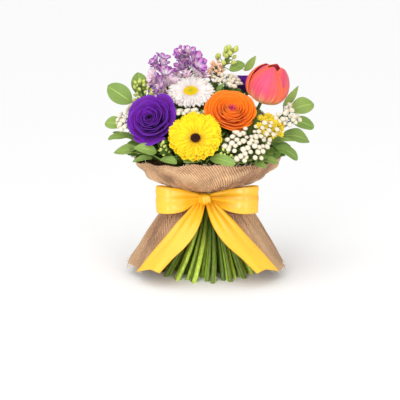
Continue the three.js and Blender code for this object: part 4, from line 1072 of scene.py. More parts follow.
def wrap_place(u, v, climb):
    """The cloth's inner face. v runs from -1 at the hem to 0 at the tie and 1 at the rim, and climb from 0
    to 1 up the tied stretch; u runs from one side edge to the other. Radius and height follow a flared
    curve below and a rounded bowl above; seven broad folds and some forty pleats that fade away from the
    tie move it in and out."""
    t = np.abs(v)
    start, end = (np.where(v < 0, lerp(tie, hem, t), lerp(tie, rim, t))
                  for tie, hem, rim in zip(TIE_EDGES, HEM_EDGES, RIM_EDGES))
    azimuth = lerp(start, end, u)
    around = np.radians(azimuth)
    sine = np.sin(np.maximum(v, 0) * math.pi / 2)
    rise = 0.2 * sine + 0.8 * (1 - np.sqrt(np.maximum(0, 1 - sine ** 2)))
    flare = 0.69 * t + 0.31 * (1 - np.exp(-t / 0.045))
    bowl = lerp(WAIST_RADIUS, RIM_RADIUS, lerp(sine, t, 0.25))
    radius = np.where(v < 0, lerp(WAIST_RADIUS, HEM_RADIUS, flare), bowl)
    z = np.where(v < 0, lerp(WAIST_LOW, HEM_Z, t), lerp(WAIST_HIGH, RIM_Z, rise))
    z = np.where(t < 1e-9, lerp(WAIST_LOW, WAIST_HIGH, climb), z)
    depth = np.where(v < 0, 5, 3.4) * t ** 0.8 * np.sqrt(np.sin(math.pi * np.clip(u, 0, 1)))
    lap = 3.4 * smooth(u, 0.62, 0.86) * smooth(v, 0, 0.3) + 3.2 * smooth(u, 0.93, 1.0) * smooth(v, 0.02, 0.2)
    wave = depth * np.sin(7 * around + 2 * v)
    fine = 0.35 * np.sin(67 * around + 2 * np.sin(4 * around))
    pleat = np.sin(39 * around + 1.6 * np.sin(5 * around) + 3 * v) + fine
    size = 0.3 + 1.35 * smooth(t, 0.0, 0.12) * (1 - smooth(t, 0.15, 0.95))
    soft = 1.5 * smooth(t, 0.1, 0.7) * np.sin(11 * around + 5 * v + 2 * np.sin(2 * around))
    soft = soft + 1.6 * smooth(v, 0.05, 0.4) * (1 - smooth(v, 0.75, 1.0)) * np.sin(9 * around - 12 * v + 1)
    z = z + np.where(v > 0, 3 * v ** 2 * np.sin(3 * around), 0) + 1.2 * t ** 3 * np.sin(17 * around)
    aside = np.radians(np.abs((azimuth + 270) % 360 - 180))
    ridge = np.exp(-2.2 * (1 - np.cos(9.5 * v - 5.6 * aside + 0.9)))
    swag = 4.8 * (ridge - 0.3) * smooth(v, 0.1, 0.35) * (1 - smooth(v, 0.8, 1.0)) * smooth(aside, 0.0, 0.3)
    relief = wave + size * pleat + soft + swag
    # The tone follows the relief, low in the folds and high on their crests: painted shade and painted
    # highlight.
    return polar(radius + lap + relief, azimuth, z), np.clip(0.62 + 0.085 * relief, 0, 1)


def wrap_grid():
    """The cloth's outer face as a grid from the hem to the rim, its UV map in millimetres and its tone, which
    paints shade in the folds, a shadow just beside the edge that laps over, and a highlight on the crests."""
    below, above = np.linspace(-1, 0, HEM_ROWS), np.linspace(0, 1, RIM_ROWS)
    v = np.concatenate([below, np.zeros(TIE_ROWS), above])[:, None]
    tied = np.linspace(0, 1, TIE_ROWS + 2)[1:-1]
    climb = np.concatenate([np.zeros(HEM_ROWS), tied, np.ones(RIM_ROWS)])[:, None]
    u = np.linspace(0, 1, CLOTH_COLUMNS)[None, :]
    uneven = 1 - 0.012 * (1 + np.sin(23 * u + 1) * np.cos(61 * u))
    v, climb, u = np.broadcast_arrays(v * uneven, climb, u)
    points, tone = wrap_place(u, v, climb)
    span = lerp(TIE_EDGES[1] - TIE_EDGES[0], RIM_EDGES[1] - RIM_EDGES[0], v)
    beyond = np.maximum(u - (span - 360) / span, 0)
    # A painted shadow on the under layer, just beside the edge that laps over it.
    tone = tone - 0.5 * np.exp(-beyond / 0.012) * smooth(v, 0.34, 0.44)
    normal = unit(np.cross(np.gradient(points, axis=1), np.gradient(points, axis=0)))
    uv = np.stack([u * CLOTH_WIDE, v * np.where(v < 0, HEM_LONG, RIM_LONG) + climb * TIE_LONG], -1)
    return points + OUTER_FACE * normal, uv, tone[None]


def threads(edge, inner, count, seed):
    """Loose ends that stick out from an edge of the cloth, each bending a random way."""
    draw = np.random.default_rng(seed)
    at = draw.integers(0, len(edge), count)
    out = unit(edge[at] - inner[at])
    slip = unit(np.gradient(edge, axis=0))[at] * draw.uniform(-2, 2, count)[:, None]
    reach = draw.uniform(2.0, 7.5, count)[:, None, None]
    t = np.linspace(0, 1, 5)[None, :, None]
    bend = draw.normal(0, 2.2, (count, 1, 3)) * t ** 2
    drop = np.cross(out, slip)[:, None] * 0.1
    start = (edge[at] + slip - out * OUTER_FACE)[:, None]
    sunk = unit(edge[at] - vec(0, 0, 90))[:, None] * 0.4
    return start + out[:, None] * reach * t + bend + drop - sunk


# The ribbon: the middle of its knot, stations of a loop, from the knot and back (x, y, height, half width),
# and stations of a tail, downwards (azimuth, height, half width, radius).
KNOT = vec(-3, -36.5, TIE_Z - 0.5)
KNOT_RADIUS, KNOT_HEIGHT = 9.8, 8.4
BAND_OUTER, BAND_INNER, BAND_HEIGHT = 28.7, 27.95, 6.4
LOOP = ((3, -39, 0, 6), (19, -46, 1, 11), (36, -59, 2, 16.5), (54, -64.5, 2.5, 19), (69, -59, 2.5, 19),
        (73, -51, 2.5, 19), (62, -49, 2.5, 19), (32, -47.5, 1.5, 12), (3, -36, 0, 5.5))
TAIL = ((-97, 117.5, 5, 38), (-100, 109.5, 9, 53), (-107, 91, 16, 72), (-115, 70, 19, 87),
        (-124, 48, 19, 103), (-131, 23, 19, 119.5))


def ribbon(surface, line, across, steps, phase, belly, notch=0.0):
    """A ribbon along a line of [x, y, z, half width]. Its flat width stands square to the line; where it is
    gathered it folds in and out across its width, and everywhere it bellies a little. With a notch of 1 the
    end is cut level, with a shallow V."""
    fine = spline(line, steps)
    at, half = fine[:, None, :3], fine[:, None, 3:]
    along = unit(np.gradient(fine[:, :3], axis=0))[:, None]
    side = across(at)
    side = unit(side - (side * along).sum(-1, keepdims=True) * along)
    normal = np.cross(side, along)
    s = np.linspace(-1, 1, 21)[None, :, None]
    t = np.linspace(0, 1, steps)[:, None, None]
    tight = np.clip(1.08 - half / HALF_RIBBON, 0, 1)
    fold = 2.6 * tight * np.cos(3 * math.pi * s + phase + 1.5 * t)
    fold = fold + 0.4 * np.sin(2.2 * math.pi * s + 7 * t + phase)
    fold = fold + belly * (1 - s ** 2) * (1 - tight)
    cut = notch * (1.5 + 11.5 * s - 5.5 * (1 - np.abs(s))) * smooth(t, 0.72, 1)
    points = at + side * s * half + normal * fold + along * cut
    run = np.cumsum(np.linalg.norm(np.diff(fine[:, :3], axis=0, prepend=fine[:1, :3]), axis=1))
    uv = np.stack(np.broadcast_arrays(s[..., 0] * HALF_RIBBON, run[:, None]), -1)
    # The tone follows the fold, lower in its hollows: painted shade.
    tone = np.clip(0.66 + 0.24 * fold[..., 0] * (0.35 + tight[..., 0]), 0, 1)[None]
    surface.sheet(points, mm("ribbon"), tone, 0, uv)


def knot_grid():
    """The knot: a squared ball, pleated from top to bottom, with its tone and its UV map."""
    tilt = np.radians(np.linspace(-90, 90, 19))[:, None]
    azimuth = np.linspace(0, 360, 73)[None, :]
    pleat = 1 + 0.09 * np.sin(np.radians(6 * azimuth) + 0.8 * np.sin(tilt * 1.4)) * np.cos(tilt) ** 0.5
    height = KNOT_HEIGHT * np.sign(tilt) * np.abs(np.sin(tilt)) ** 0.9
    points = polar(KNOT_RADIUS * np.cos(tilt).clip(0) ** 0.5 * pleat, azimuth, height) + KNOT - vec(0, 4.0, 0)
    uv = np.stack(np.broadcast_arrays(azimuth / 20 - 9, 8 * tilt), -1)
    # The tone is lower in the pleats' hollows: painted shade.
    return points, (0.85 + 2.4 * (pleat - 1))[None], 0, uv


def band_grid():
    """The band round the waist: a ring creased outside and plain inside, with its tone and its UV map."""
    around = np.linspace(0, 360, 121)[None, :]
    z = np.linspace(-BAND_HEIGHT, BAND_HEIGHT, 17)[:, None]
    crease = 0.3 * np.sin(1.5 * z + 1.2 * np.sin(np.radians(3 * around)))
    outer = polar(BAND_OUTER + crease, around, TIE_Z + z)
    inner = polar(BAND_INNER, around, TIE_Z + z[[-1, 0]])
    points = np.concatenate([outer, inner, outer[:1]])
    across = np.linspace(-HALF_RIBBON, HALF_RIBBON, len(points))[:, None]
    return points, 0.75, 0, np.stack(np.broadcast_arrays(across, around * 0.5), -1)


def ribbon_bow():
    """Two loops, two tails, the knot round them and the band round the waist."""
    surface = Surface()
    for side, reach, wide in ((-1, 0.95, 1.14), (1, 1.02, 1.04)):
        loop = [(KNOT[0] + side * reach * x, y, KNOT[2] + rise, half) for x, y, rise, half in LOOP]
        ribbon(surface, loop, lambda at: vec(0, 0.24, 1) + 0 * at, 76, 0.7 * side, -2.2 * side)
        tail = []
        for azimuth, z, half, radius in TAIL:
            x, y, z = polar(radius, azimuth, z)
            tail.append((side * wide * x + KNOT[0], y, z, half))
        ribbon(surface, tail, lambda at: np.stack([-at[..., 1], at[..., 0], 0 * at[..., 0]], -1) * -side, 60,
               2.0 + side, 1.5 * side, 1)
    return surface.grid(*knot_grid()).grid(*band_grid())


# Building.
def leaf_green():
    """The green of the leaves, with paler veins."""
    c = colours()
    return known("leaf_green", leaf_finish, c.leaf, c.leaf_dark, shaded(c.leaf, 1.5))


def stem_green():
    """The green of the stems, with paler ribs and painted shade that darkens them towards the tie."""
    c = colours()
    return known("stem_green", stem_finish, c.stem, c.stem_dark_and_shade, shaded(c.stem, 1.6))


def bloom_finishes(kind):
    """What a bloom's petals are made of, and the green for what is under them."""
    c = colours()
    made = {
        "yellow_gerbera": (petal_finish, c.yellow_root, c.yellow, 0.08),
        "white_gerbera": (petal_finish, c.white_root, c.white, 0.2),
        "orange_ranunculus": (rosette_finish, c.orange_fold_shade, c.orange, c.orange_rim, c.coral),
        "purple_lisianthus": (rosette_finish, c.violet_fold_shade, c.violet, c.violet_rim, c.violet_fold_shade),
        "tulip": (edged_finish, c.tulip_foot, c.coral, c.coral_rim, 0.0, 0.5, 1.35),
    }
    return known(kind + "_petal", *made[kind]), leaf_green()


SLOTS = {"yellow_gerbera": "gerbera_yellow", "white_gerbera": "gerbera_white",
         "orange_ranunculus": "orange_petal", "purple_lisianthus": "purple_petal", "tulip": "tulip_petal"}
# A rosette's number of petals, how far they ruffle, and how they open towards the rim.
ROSETTES = {"orange_ranunculus": (52, 0.9, 0.95), "purple_lisianthus": (30, 1.7, 1.15)}


def build_disc(disc, kind, name):
    """The disc in the middle of a gerbera."""
    c = colours()
    if kind == "yellow_gerbera":
        made = known("dark_disc", disc_finish, shaded(c.eye_dark, 0.5), c.eye_dark, shaded(c.eye_dark, 2.2))
        disc.piece(name, "gerbera_eye", [made], name)
    else:
        made = known("golden_disc", disc_finish, c.disc_heart, c.disc, shaded(c.disc, 1.1))
        disc.piece(name, "daisy_eye", [made], name)


def build_bloom(name):
    """One bloom in its place, its disc if it has one, and its stem."""
    kind, _, _, centre, faces, radius, extra = BLOOMS[name]
    seed = list(BLOOMS).index(name)
    if "gerbera" in kind:
        head, disc = gerbera(kind, radius, extra)
        build_disc(disc.set_into(centre, faces, 40 * seed), kind, name + "_eye")
    elif kind == "tulip":
        head = tulip(radius, extra)
    else:
        head = rosette(radius, extra, seed + 5, *ROSETTES[kind])
        sepals(head, radius, extra)
    head.set_into(centre, faces).piece(name, SLOTS[kind], bloom_finishes(kind), name)
    stalk = stem(Surface(), bloom_stem(*BLOOMS[name], FLOWER_GAP), FLOWER_STEM, (0.37 * seed) % 1)
    stalk.piece(name + "_stem", "stem", [stem_green()], name + "_stem")


def build_blooms(*kinds):
    """The blooms of some kinds, in the order of their table."""
    for name, row in BLOOMS.items():
        if row[0] in kinds:
            build_bloom(name)


def build_leafy(name):
    """A leafy stem: its stalk and its leaves."""
    place, rows = LEAVES[name]
    line = stem_line(*place)
    seed = sum(map(ord, name))
    stem(Surface(), line, SPRAY_STEM, (0.13 * seed) % 1).piece(name + "_stalk", "stem", [stem_green()], name)
    blades = Surface()
    leaves(blades, on_stem(line, rows), seed, grid=(17, 11))
    blades.piece(name, "leaf", [leaf_green()], name)


def build_spray(name, place, leave, to, shapes, scale, slot, finish, seed, extra=(), thin=False):
    """A spray: its stem with a curved stalk to each head, and the heads, leaving out those that a bloom
    hides. The shapes of a head are closed, unless they are thin, as petals are."""
    line = stem_line(*place)
    clear = ~inside_bloom(to, 1.1 * scale)
    leave, to = leave[clear], to[clear]
    stalks = stem(Surface(), line, SPRAY_STEM, (0.29 * seed) % 1)
    way = twigs(stalks, line, leave, to, seed)
    if extra:
        leaves(stalks, on_stem(line, extra), seed, 1)
    stalks.piece(name + "_stalks", "stem", [stem_green(), leaf_green()], name)
    draw = np.random.default_rng(seed)
    grow = scale * draw.uniform(0.72, 1.08, len(to))
    up = unit(way + vec(0, -0.15, 0.35))
    heads = Surface()
    shade = draw.uniform(0.4, 1, len(to))
    turns = draw.uniform(0, 360, len(to))
    for shape in shapes:
        copies = placed(shape, to, up, turns, grow)
        tone = np.repeat(shade, math.prod(shape.shape[:-3]))
        if thin:
            heads.sheet(copies, 0.4, tone)
        else:
            heads.grid(copies, tone)
    heads.piece(name, slot, [finish], name)


def puff_shape():
    """A fluffy cluster of small knobs that point outwards all round."""
    k = np.arange(18)
    z = 1 - 1.5 * (k + 0.5) / 18
    way = polar(np.sqrt(1 - z ** 2), GOLDEN * k, z)
    knob = revolved([(0.16, -0.1), (0.34, 0.25), (0.2, 0.6), (0, 0.72)], 5)
    return placed(knob, way * 0.55, way)


def bud_shape():
    """A closed bud with its base at the origin."""
    return revolved([(0, -0.2), (0.5, 0.1), (0.92, 0.75), (1, 1.3), (0.72, 2.0), (0.32, 2.45), (0, 2.6)], 8)


# How many leaves are tried between the blooms, along the wrap's rim and round the collar, and how many
# stems they have. Each number of the box is a side that a leaf between the blooms keeps within.
FILLERS, RIM_LEAVES, COLLAR_LEAVES, LEAF_STEMS = 900, 76, 96, 45
FILLER_SEED = 77
FILLER_BOX = {"aside": 140, "front": -108, "back": 125, "top": 292, "bottom": 168}


def nearest(posts, place):
    """The post nearest to a place."""
    return posts[np.argmin(np.linalg.norm(posts - place, axis=1))]


def stem_posts():
    """Points along the upper part of the leafy and the flower stems."""
    lines = [stem_line(*place) for place, _ in LEAVES.values()]
    lines += [bloom_stem(*row, 2) for row in BLOOMS.values()]
    return np.concatenate([spline(line, 120)[75:-4] for line in lines])


def dome_leaves(draw, posts):
    """Leaves over a dome under the blooms, that point outwards and up. Those that reach into a bloom, hide
    one, cut the wrap or leave their box are left out."""
    count = FILLERS
    azimuth = draw.uniform(0, 360, count)
    lean = np.degrees(np.arccos(draw.uniform(0.12, 0.98, count)))
    way = polar(np.sin(np.radians(lean)), azimuth, np.cos(np.radians(lean)))
    grow = unit(way + vec(0, 0, 0.35) + draw.normal(0, 0.35, (count, 3)))
    size = draw.uniform(16, 34, count)
    dome = np.stack([draw.uniform(68, 100, count)] * 2 + [draw.uniform(66, 116, count)], 1)
    middle = vec(0, 0, 168) + way * dome
    base, tip = middle - grow * size[:, None] * 0.5, middle + grow * size[:, None] * 0.5
    face = unit(way + vec(0, -0.2, 0.5) + draw.normal(0, 0.25, (count, 3)))
    rows = []
    for k in range(count):
        line = lerp(base[k], tip[k], np.linspace(0, 1, 7)[:, None])
        across = unit(np.cross(face[k], grow[k])) * size[k] * 0.22
        probe = np.concatenate([line, line + across, line - across])
        x, y, z = tip[k]
        cuts_wrap = ((np.hypot(*probe[:, :2].T) > 92) & (probe[:, 2] < 186)).any()
        sinks = probe[:, 2].min() < FILLER_BOX["bottom"]
        strays = abs(x) > FILLER_BOX["aside"] or not FILLER_BOX["front"] <= y <= FILLER_BOX["back"]
        if cuts_wrap or sinks or strays or z > FILLER_BOX["top"]:
            continue
        if inside_bloom(probe, 1.5).any() or hides_bloom(probe).any():
            continue
        wide, shape = ((0.4, "broad"), (0.52, "oval"), (0.42, "pointed"))[k % 3]
        rows.append((nearest(posts, base[k] - grow[k] * 16), base[k], tip[k], size[k] * wide, face[k], shape))
    return rows


def rim_leaves(draw, posts):
    """Leaves along the wrap's rim, in front and behind, then all round the collar, by turns out and in."""
    rows = []
    steps = np.linspace(0, 1, 7)[:, None]
    for k in range(RIM_LEAVES):
        turn = (-22, 178)[k % 2] + 1.5 * (k // 2 - 19) + draw.normal(0, 3)
        first = polar(draw.uniform(84, 92), turn, draw.uniform(183, 188))
        last = polar(draw.uniform(111, 124), turn + draw.normal(0, 10), draw.uniform(180, 194))
        face = unit(polar(0.25, turn, 0.8) + vec(0, -0.45, 0))
        if not inside_bloom(lerp(first, last, steps), 2).any():
            rows.append((nearest(posts, polar(70.0, turn, 172)), first, last, draw.uniform(14, 20), face,
                         ("broad", "oval")[k % 2]))
    for k in range(COLLAR_LEAVES):
        turn = 360 * k / COLLAR_LEAVES + draw.normal(0, 3)
        inner = k % 2
        first = polar((84.0, 66.0)[inner], turn, (181.0, 176.0)[inner])
        reach = draw.uniform((106, 90), (120, 102))[inner]
        last = polar(reach, turn + draw.normal(0, 12), draw.uniform((186, 186), (196, 204))[inner])
        probe = lerp(first, last, steps)
        if inside_bloom(probe, 2).any() or hides_bloom(probe).any() or last[1] < -116:
            continue
        face = unit(polar(-0.3, turn, 0.9) + vec(0, -0.35 if inner else 0, 0))
        rows.append((nearest(posts, polar(60.0, turn, 168)), first, last, draw.uniform(13, 19), face,
                     ("oval", "broad")[inner]))
    return rows


def leaf_stems():
    """The stems of the leaves between the blooms, which spread below the tie between the other stems."""
    surface = Surface()
    z = np.linspace(0, WAIST_HIGH, 12)
    t = np.maximum(0, (WAIST_LOW - z) / WAIST_LOW)
    for k in range(LEAF_STEMS):
        radius, flare = ((15.0, 3.0), (17.0, 2.75), (9.0, 3.4))[k % 3]
        azimuth = 360 * (k + 0.35 * math.sin(7 * k)) / LEAF_STEMS - FOOT_TWIST * t - 4
        stem(surface, polar(radius * (1 + flare * t ** FOOT_CURVE), azimuth, z), 2.2, (0.41 * k) % 1)
    surface.piece("leaf_stems", "stem", [stem_green()])


def build_foliage():
    """The leaves that fill the bunch between the blooms, each growing from the nearest point of a stem."""
    draw = np.random.default_rng(FILLER_SEED)
    posts = stem_posts()
    for name, make in (("filler_leaves", dome_leaves), ("rim_leaves", rim_leaves)):
        surface = Surface()
        # These leaves take a low tone, near the dark leaf colour: painted shade, as for leaves in the shade
        # of the blooms.
        leaves(surface, make(draw, posts), len(name), tone=0.35, grid=(10, 7))
        surface.piece(name, "leaf", [leaf_green()])


# One operator for each piece or group of like pieces.
class BOUQUET_OT_gerberas(bpy.types.Operator):
    """Add the yellow and white gerberas"""
    bl_idname = "bouquet.gerberas"
    bl_label = "Gerberas"
    bl_options = {"REGISTER", "UNDO"}

    def execute(self, context):
        build_blooms("yellow_gerbera", "white_gerbera")
        return {"FINISHED"}


class BOUQUET_OT_rosettes(bpy.types.Operator):
    """Add the ranunculus and the lisianthus"""
    bl_idname = "bouquet.rosettes"
    bl_label = "Ranunculus and lisianthus"
    bl_options = {"REGISTER", "UNDO"}

    def execute(self, context):
        build_blooms("orange_ranunculus", "purple_lisianthus")
        return {"FINISHED"}


class BOUQUET_OT_tulips(bpy.types.Operator):
    """Add the tulips"""
    bl_idname = "bouquet.tulips"
    bl_label = "Tulips"
    bl_options = {"REGISTER", "UNDO"}

    def execute(self, context):
        build_blooms("tulip")
        return {"FINISHED"}


class BOUQUET_OT_freesias(bpy.types.Operator):
    """Add the freesias: funnels on short stalks along the end of their stems"""
    bl_idname = "bouquet.freesias"
    bl_label = "Freesias"
    bl_options = {"REGISTER", "UNDO"}

    def execute(self, context):
        c = colours()
        made = known("freesia_petal", edged_finish, c.lilac_pale, c.lilac, c.lilac_deep, 0.5, 0.84, 1.4)
        pale = known("freesia_pale_petal", edged_finish, c.lilac_pale, c.lilac_pale, c.lilac, 0.6, 1.1, 1.2)
        shape = freesia_floret()
        cup = revolved([(0, -1.5), (1.5, 0), (1.9, 4), (1.5, 7)], 8)
        for name, (place, mouths) in FREESIAS.items():
            draw = np.random.default_rng(len(name))
            line = stem_line(*place)
            mouths = np.array(mouths, float)
            for shift, size in ((vec(6, 3, -13), 0.85), (vec(1, -3, -8), 0.75)):
                extra = mouths[:, :3] + draw.normal(0, 4.5, (len(mouths), 3)) + shift
                mouths = np.concatenate([mouths, np.concatenate([extra, size * mouths[:, 3:]], 1)[:6]])
            root = nearest_on(line, mouths[:, :3] - vec(0, 0, 0.7 * FUNNEL))
            heads, stalks = Surface(), stem(Surface(), line, SPRAY_STEM, 0.4)
            for k, (mouth, start) in enumerate(zip(mouths, root)):
                way = unit(mouth[:3] - start)
                foot = mouth[:3] - way * min(FUNNEL, np.linalg.norm(mouth[:3] - start) - 3)
                size = vec(mouth[3] * 1.32, mouth[3] * 1.32, np.linalg.norm(mouth[:3] - foot))
                tepals = placed(shape * size, foot, way, 47 * k)[0]
                heads.sheet(tepals, 0.5, draw.uniform(0.2, 0.9, 6), int(draw.uniform() < 0.4))
                stalks.tube(bow(start, foot + way, 5, vec(0, 0, -1)), 1.1, 6, 0.3)
                stalks.grid(placed(cup, foot, way), 0.3)
            stalks.piece(name + "_stalks", "stem", [stem_green()], name)
            heads.piece(name, "freesia_petal", [made, pale], name)
        return {"FINISHED"}


class BOUQUET_OT_buttons(bpy.types.Operator):
    """Add the sprays of small round heads"""
    bl_idname = "bouquet.buttons"
    bl_label = "Button sprays"
    bl_options = {"REGISTER", "UNDO"}

    def execute(self, context):
        c = colours()
        made = known("button_cream", speckled_finish, c.cream, shaded(c.cream, 0.78), 500)
        for name, (place, *patch, seed) in BUTTONS.items():
            leave, to = umbel(place, *patch, seed)
            if name == "buttons_front_right":
                more = umbel(place, *SECOND_PATCH, seed + 1)
                leave, to = np.concatenate([leave, more[0]]), np.concatenate([to, more[1]])
            build_spray(name, place, leave, to, button_head(), mm("button"), "button_floret", made, seed)
        return {"FINISHED"}


class BOUQUET_OT_spikes(bpy.types.Operator):
    """Add the stems of closed buds and of peach florets"""
    bl_idname = "bouquet.spikes"
    bl_label = "Buds and peach florets"
    bl_options = {"REGISTER", "UNDO"}

    def execute(self, context):
        c = colours()
        bud = known("bud_green", speckled_finish, c.bud, shaded(c.bud, 0.5), 300, 0.5)
        peach = known("peach_petal", speckled_finish, c.peach, shaded(c.peach, 0.72), 300, 0.6)
        floret = freesia_floret() * vec(1, 1, 1.5) - vec(0, 0, PEACH_BELOW)
        for name, (place, long, spread, count, seed, radius, kind) in SPIKES.items():
            leave, to = spike(place, long, spread, count, seed)
            shape, scale, finish = (bud_shape(), 0.85, bud) if kind == "bud" else (floret, 1.3, peach)
            build_spray(name, place, leave, to, (shape,), radius * scale, kind, finish, seed,
                        TOP_LEAVES if name == "buds_top" else (), kind != "bud")
        return {"FINISHED"}


class BOUQUET_OT_goldenrod(bpy.types.Operator):
    """Add the fluffy yellow clusters"""
    bl_idname = "bouquet.goldenrod"
    bl_label = "Goldenrod"
    bl_options = {"REGISTER", "UNDO"}

    def execute(self, context):
        c = colours()
        made = known("goldenrod_yellow", speckled_finish, c.goldenrod, shaded(c.goldenrod, 0.55), 700)
        place, *patch, seed = SOLIDAGO
        leave, to = umbel(place, *patch, seed)
        shapes = (puff_shape(),)
        build_spray("solidago_right", place, leave, to, shapes, PUFF_RADIUS, "yellow_filler", made, seed)
        return {"FINISHED"}


class BOUQUET_OT_leaves(bpy.types.Operator):
    """Add the leafy stems and the leaves between the blooms"""
    bl_idname = "bouquet.leaves"
    bl_label = "Leaves"
    bl_options = {"REGISTER", "UNDO"}

    def execute(self, context):
        for name in LEAVES:
            build_leafy(name)
        build_foliage()
        leaf_stems()
        return {"FINISHED"}


class BOUQUET_OT_burlap(bpy.types.Operator):
    """Add the burlap wrap and its frayed edges"""
    bl_idname = "bouquet.burlap"
    bl_label = "Burlap wrap"
    bl_options = {"REGISTER", "UNDO"}

    def execute(self, context):
        c = colours()
        made = known("burlap", burlap_finish, c.burlap, c.burlap_dark)
        fibre = known("jute_fibre", speckled_finish, c.fibre, c.burlap_dark, 800, 0.9)
        points, uv, tone = wrap_grid()
        wrap = Surface().sheet(points, mm("cloth"), tone, 0, uv)
        cloth = wrap.piece("burlap_wrap", "burlap", [made], "burlap_wrap")
        count = sizes().fringe
        fringe = Surface()
        ends = ((points[0], points[1], count // 2), (points[-1], points[-2], count // 3),
                (points[:, 0], points[:, 1], count // 9), (points[:, -1], points[:, -2], count // 9))
        for k, (edge, inner, share) in enumerate(ends):
            fringe.tube(threads(edge, inner, share, 60 + k), FIBRE_RADIUS, 4, 0.7)
        frayed = fringe.piece("burlap_fringe", "burlap", [fibre])
        return {"FINISHED"}


class BOUQUET_OT_ribbon(bpy.types.Operator):
    """Add the satin ribbon tied in a bow"""
    bl_idname = "bouquet.ribbon"
    bl_label = "Ribbon bow"
    bl_options = {"REGISTER", "UNDO"}

    def execute(self, context):
        c = colours()
        made = known("satin", satin_finish, c.satin, c.satin_shade_and_selvedge)
        bow_piece = ribbon_bow().piece("satin_ribbon_bow", "satin", [made], "satin_ribbon_bow")
        return {"FINISHED"}


class BOUQUET_OT_twine(bpy.types.Operator):
    """Add the three turns of string that bind the stems"""
    bl_idname = "bouquet.twine"
    bl_label = "Twine"
    bl_options = {"REGISTER", "UNDO"}

    def execute(self, context):
        c = colours()
        made = known("twine", speckled_finish, c.twine, shaded(c.twine, 0.5), 700, 0.9, 0.5)
        turns = np.linspace(0, 1, 241)
        path = polar(TWINE_RING, 360 * TWINE_TURNS * turns, TIE_Z + lerp(-TWINE_RISE, TWINE_RISE, turns))
        string = Surface().tube(path, TWINE_RADIUS, 8, 0.8)
        string.piece("twine_binding", "twine", [made], "twine_binding")
        return {"FINISHED"}


# The studio, in metres and degrees. A lamp is its kind, place, size and power. A sun's size is its angle in
# radians.
LAMPS = {
    "key": ("SUN", (-0.6, -1.0, 1.9), 1.4, 1.26),
    "fill": ("AREA", (1.1, -1.2, 0.7), 0.7, 1.2),
    "glint": ("AREA", (-0.45, -1.2, 0.5), 0.16, 4.2),
    "sparkle": ("AREA", (0.5, -1.15, 0.45), 0.14, 3.0),
}
LAMP_TARGET = Vector((0, 0, 0.17))
LAMP_HEIGHT = 0.7
WORLD_STRENGTH = 0.67
FLOOR_HALF = 30
LENS, SENSOR = 96, 36
EYE_ASIDE, EYE_TARGET, EYE_DISTANCE, EYE_ELEVATION = -0.0105, 0.109, 1.6, 12


def lamp(name, kind, at, size, power):
    """A light that shines at the middle of the bouquet."""
    light = bpy.data.lights.new(name, kind)
    light.energy = power
    if kind == "SUN":
        light.angle = size
    else:
        light.shape = "RECTANGLE"
        light.size = size
        light.size_y = max(size, LAMP_HEIGHT)
    thing = added(name, light)
    thing.location = at
    thing.rotation_euler = (LAMP_TARGET - Vector(at)).to_track_quat("-Z", "Y").to_euler()
    return thing


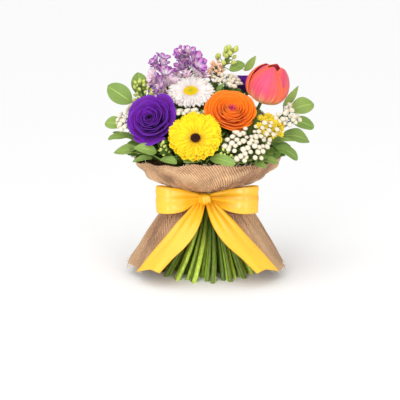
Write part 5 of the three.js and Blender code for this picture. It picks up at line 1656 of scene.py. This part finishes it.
class BOUQUET_OT_studio(bpy.types.Operator):
    """Add the floor, the lights and the camera"""
    bl_idname = "bouquet.studio"
    bl_label = "Studio"
    bl_options = {"REGISTER", "UNDO"}

    def execute(self, context):
        scene = bpy.context.scene
        paper = Finish("floor_paper", Roughness=0.75, Specular_IOR_Level=0.2)
        paper.shader.inputs["Base Color"].default_value = rgba(colours().floor)
        mesh = bpy.data.meshes.new("floor")
        corners = [(x * FLOOR_HALF, y * FLOOR_HALF, 0) for x, y in ((-1, -1), (1, -1), (1, 1), (-1, 1))]
        mesh.from_pydata(corners, [], [(0, 1, 2, 3)])
        mesh.materials.append(paper.material)
        things = [added("floor", mesh)] + [lamp(name, *row) for name, row in LAMPS.items()]
        world = bpy.data.worlds.new("studio")
        world.use_nodes = True
        sky = world.node_tree.nodes["Background"].inputs
        sky["Color"].default_value = rgba(WHITE)
        sky["Strength"].default_value = WORLD_STRENGTH
        scene.world = world
        scene.view_settings.view_transform = "Standard"
        camera = bpy.data.cameras.new("camera")
        camera.lens, camera.sensor_width = LENS, SENSOR
        eye = added("camera", camera)
        tilt = math.radians(EYE_ELEVATION)
        eye.location = (EYE_ASIDE, -EYE_DISTANCE * math.cos(tilt), EYE_TARGET + EYE_DISTANCE * math.sin(tilt))
        eye.rotation_euler = (math.radians(90) - tilt, 0, 0)
        scene.camera = eye
        return {"FINISHED"}


class BOUQUET_PT_panel(bpy.types.Panel):
    """Sizes, colours and the pieces to add"""
    bl_idname = "BOUQUET_PT_panel"
    bl_label = "Bouquet"
    bl_space_type = "VIEW_3D"
    bl_region_type = "UI"
    bl_category = "Bouquet"

    def draw(self, context):
        layout = self.layout
        for group in (context.scene.bouquet_sizes, context.scene.bouquet_colours):
            column = layout.column(align=True)
            for name in type(group).__annotations__:
                column.prop(group, name)
        for builder in OPERATORS:
            layout.operator(builder.bl_idname)


OPERATORS = (BOUQUET_OT_gerberas, BOUQUET_OT_rosettes, BOUQUET_OT_tulips, BOUQUET_OT_freesias,
             BOUQUET_OT_buttons, BOUQUET_OT_spikes, BOUQUET_OT_goldenrod, BOUQUET_OT_leaves,
             BOUQUET_OT_burlap, BOUQUET_OT_ribbon, BOUQUET_OT_twine, BOUQUET_OT_studio)
CLASSES = (BouquetSizes, BouquetColours, *OPERATORS, BOUQUET_PT_panel)


def register():
    """Registers the classes and puts the sizes and colours on the scene."""
    for made in CLASSES:
        bpy.utils.register_class(made)
    bpy.types.Scene.bouquet_sizes = PointerProperty(type=BouquetSizes)
    bpy.types.Scene.bouquet_colours = PointerProperty(type=BouquetColours)


def unregister():
    """Undoes what register does, in reverse."""
    del bpy.types.Scene.bouquet_colours
    del bpy.types.Scene.bouquet_sizes
    for made in reversed(CLASSES):
        bpy.utils.unregister_class(made)


def main():
    """Registers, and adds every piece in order."""
    register()
    bpy.ops.bouquet.gerberas()
    bpy.ops.bouquet.rosettes()
    bpy.ops.bouquet.tulips()
    bpy.ops.bouquet.freesias()
    bpy.ops.bouquet.buttons()
    bpy.ops.bouquet.spikes()
    bpy.ops.bouquet.goldenrod()
    bpy.ops.bouquet.leaves()
    bpy.ops.bouquet.burlap()
    bpy.ops.bouquet.ribbon()
    bpy.ops.bouquet.twine()
    bpy.ops.bouquet.studio()


if __name__ == "__main__":
    main()
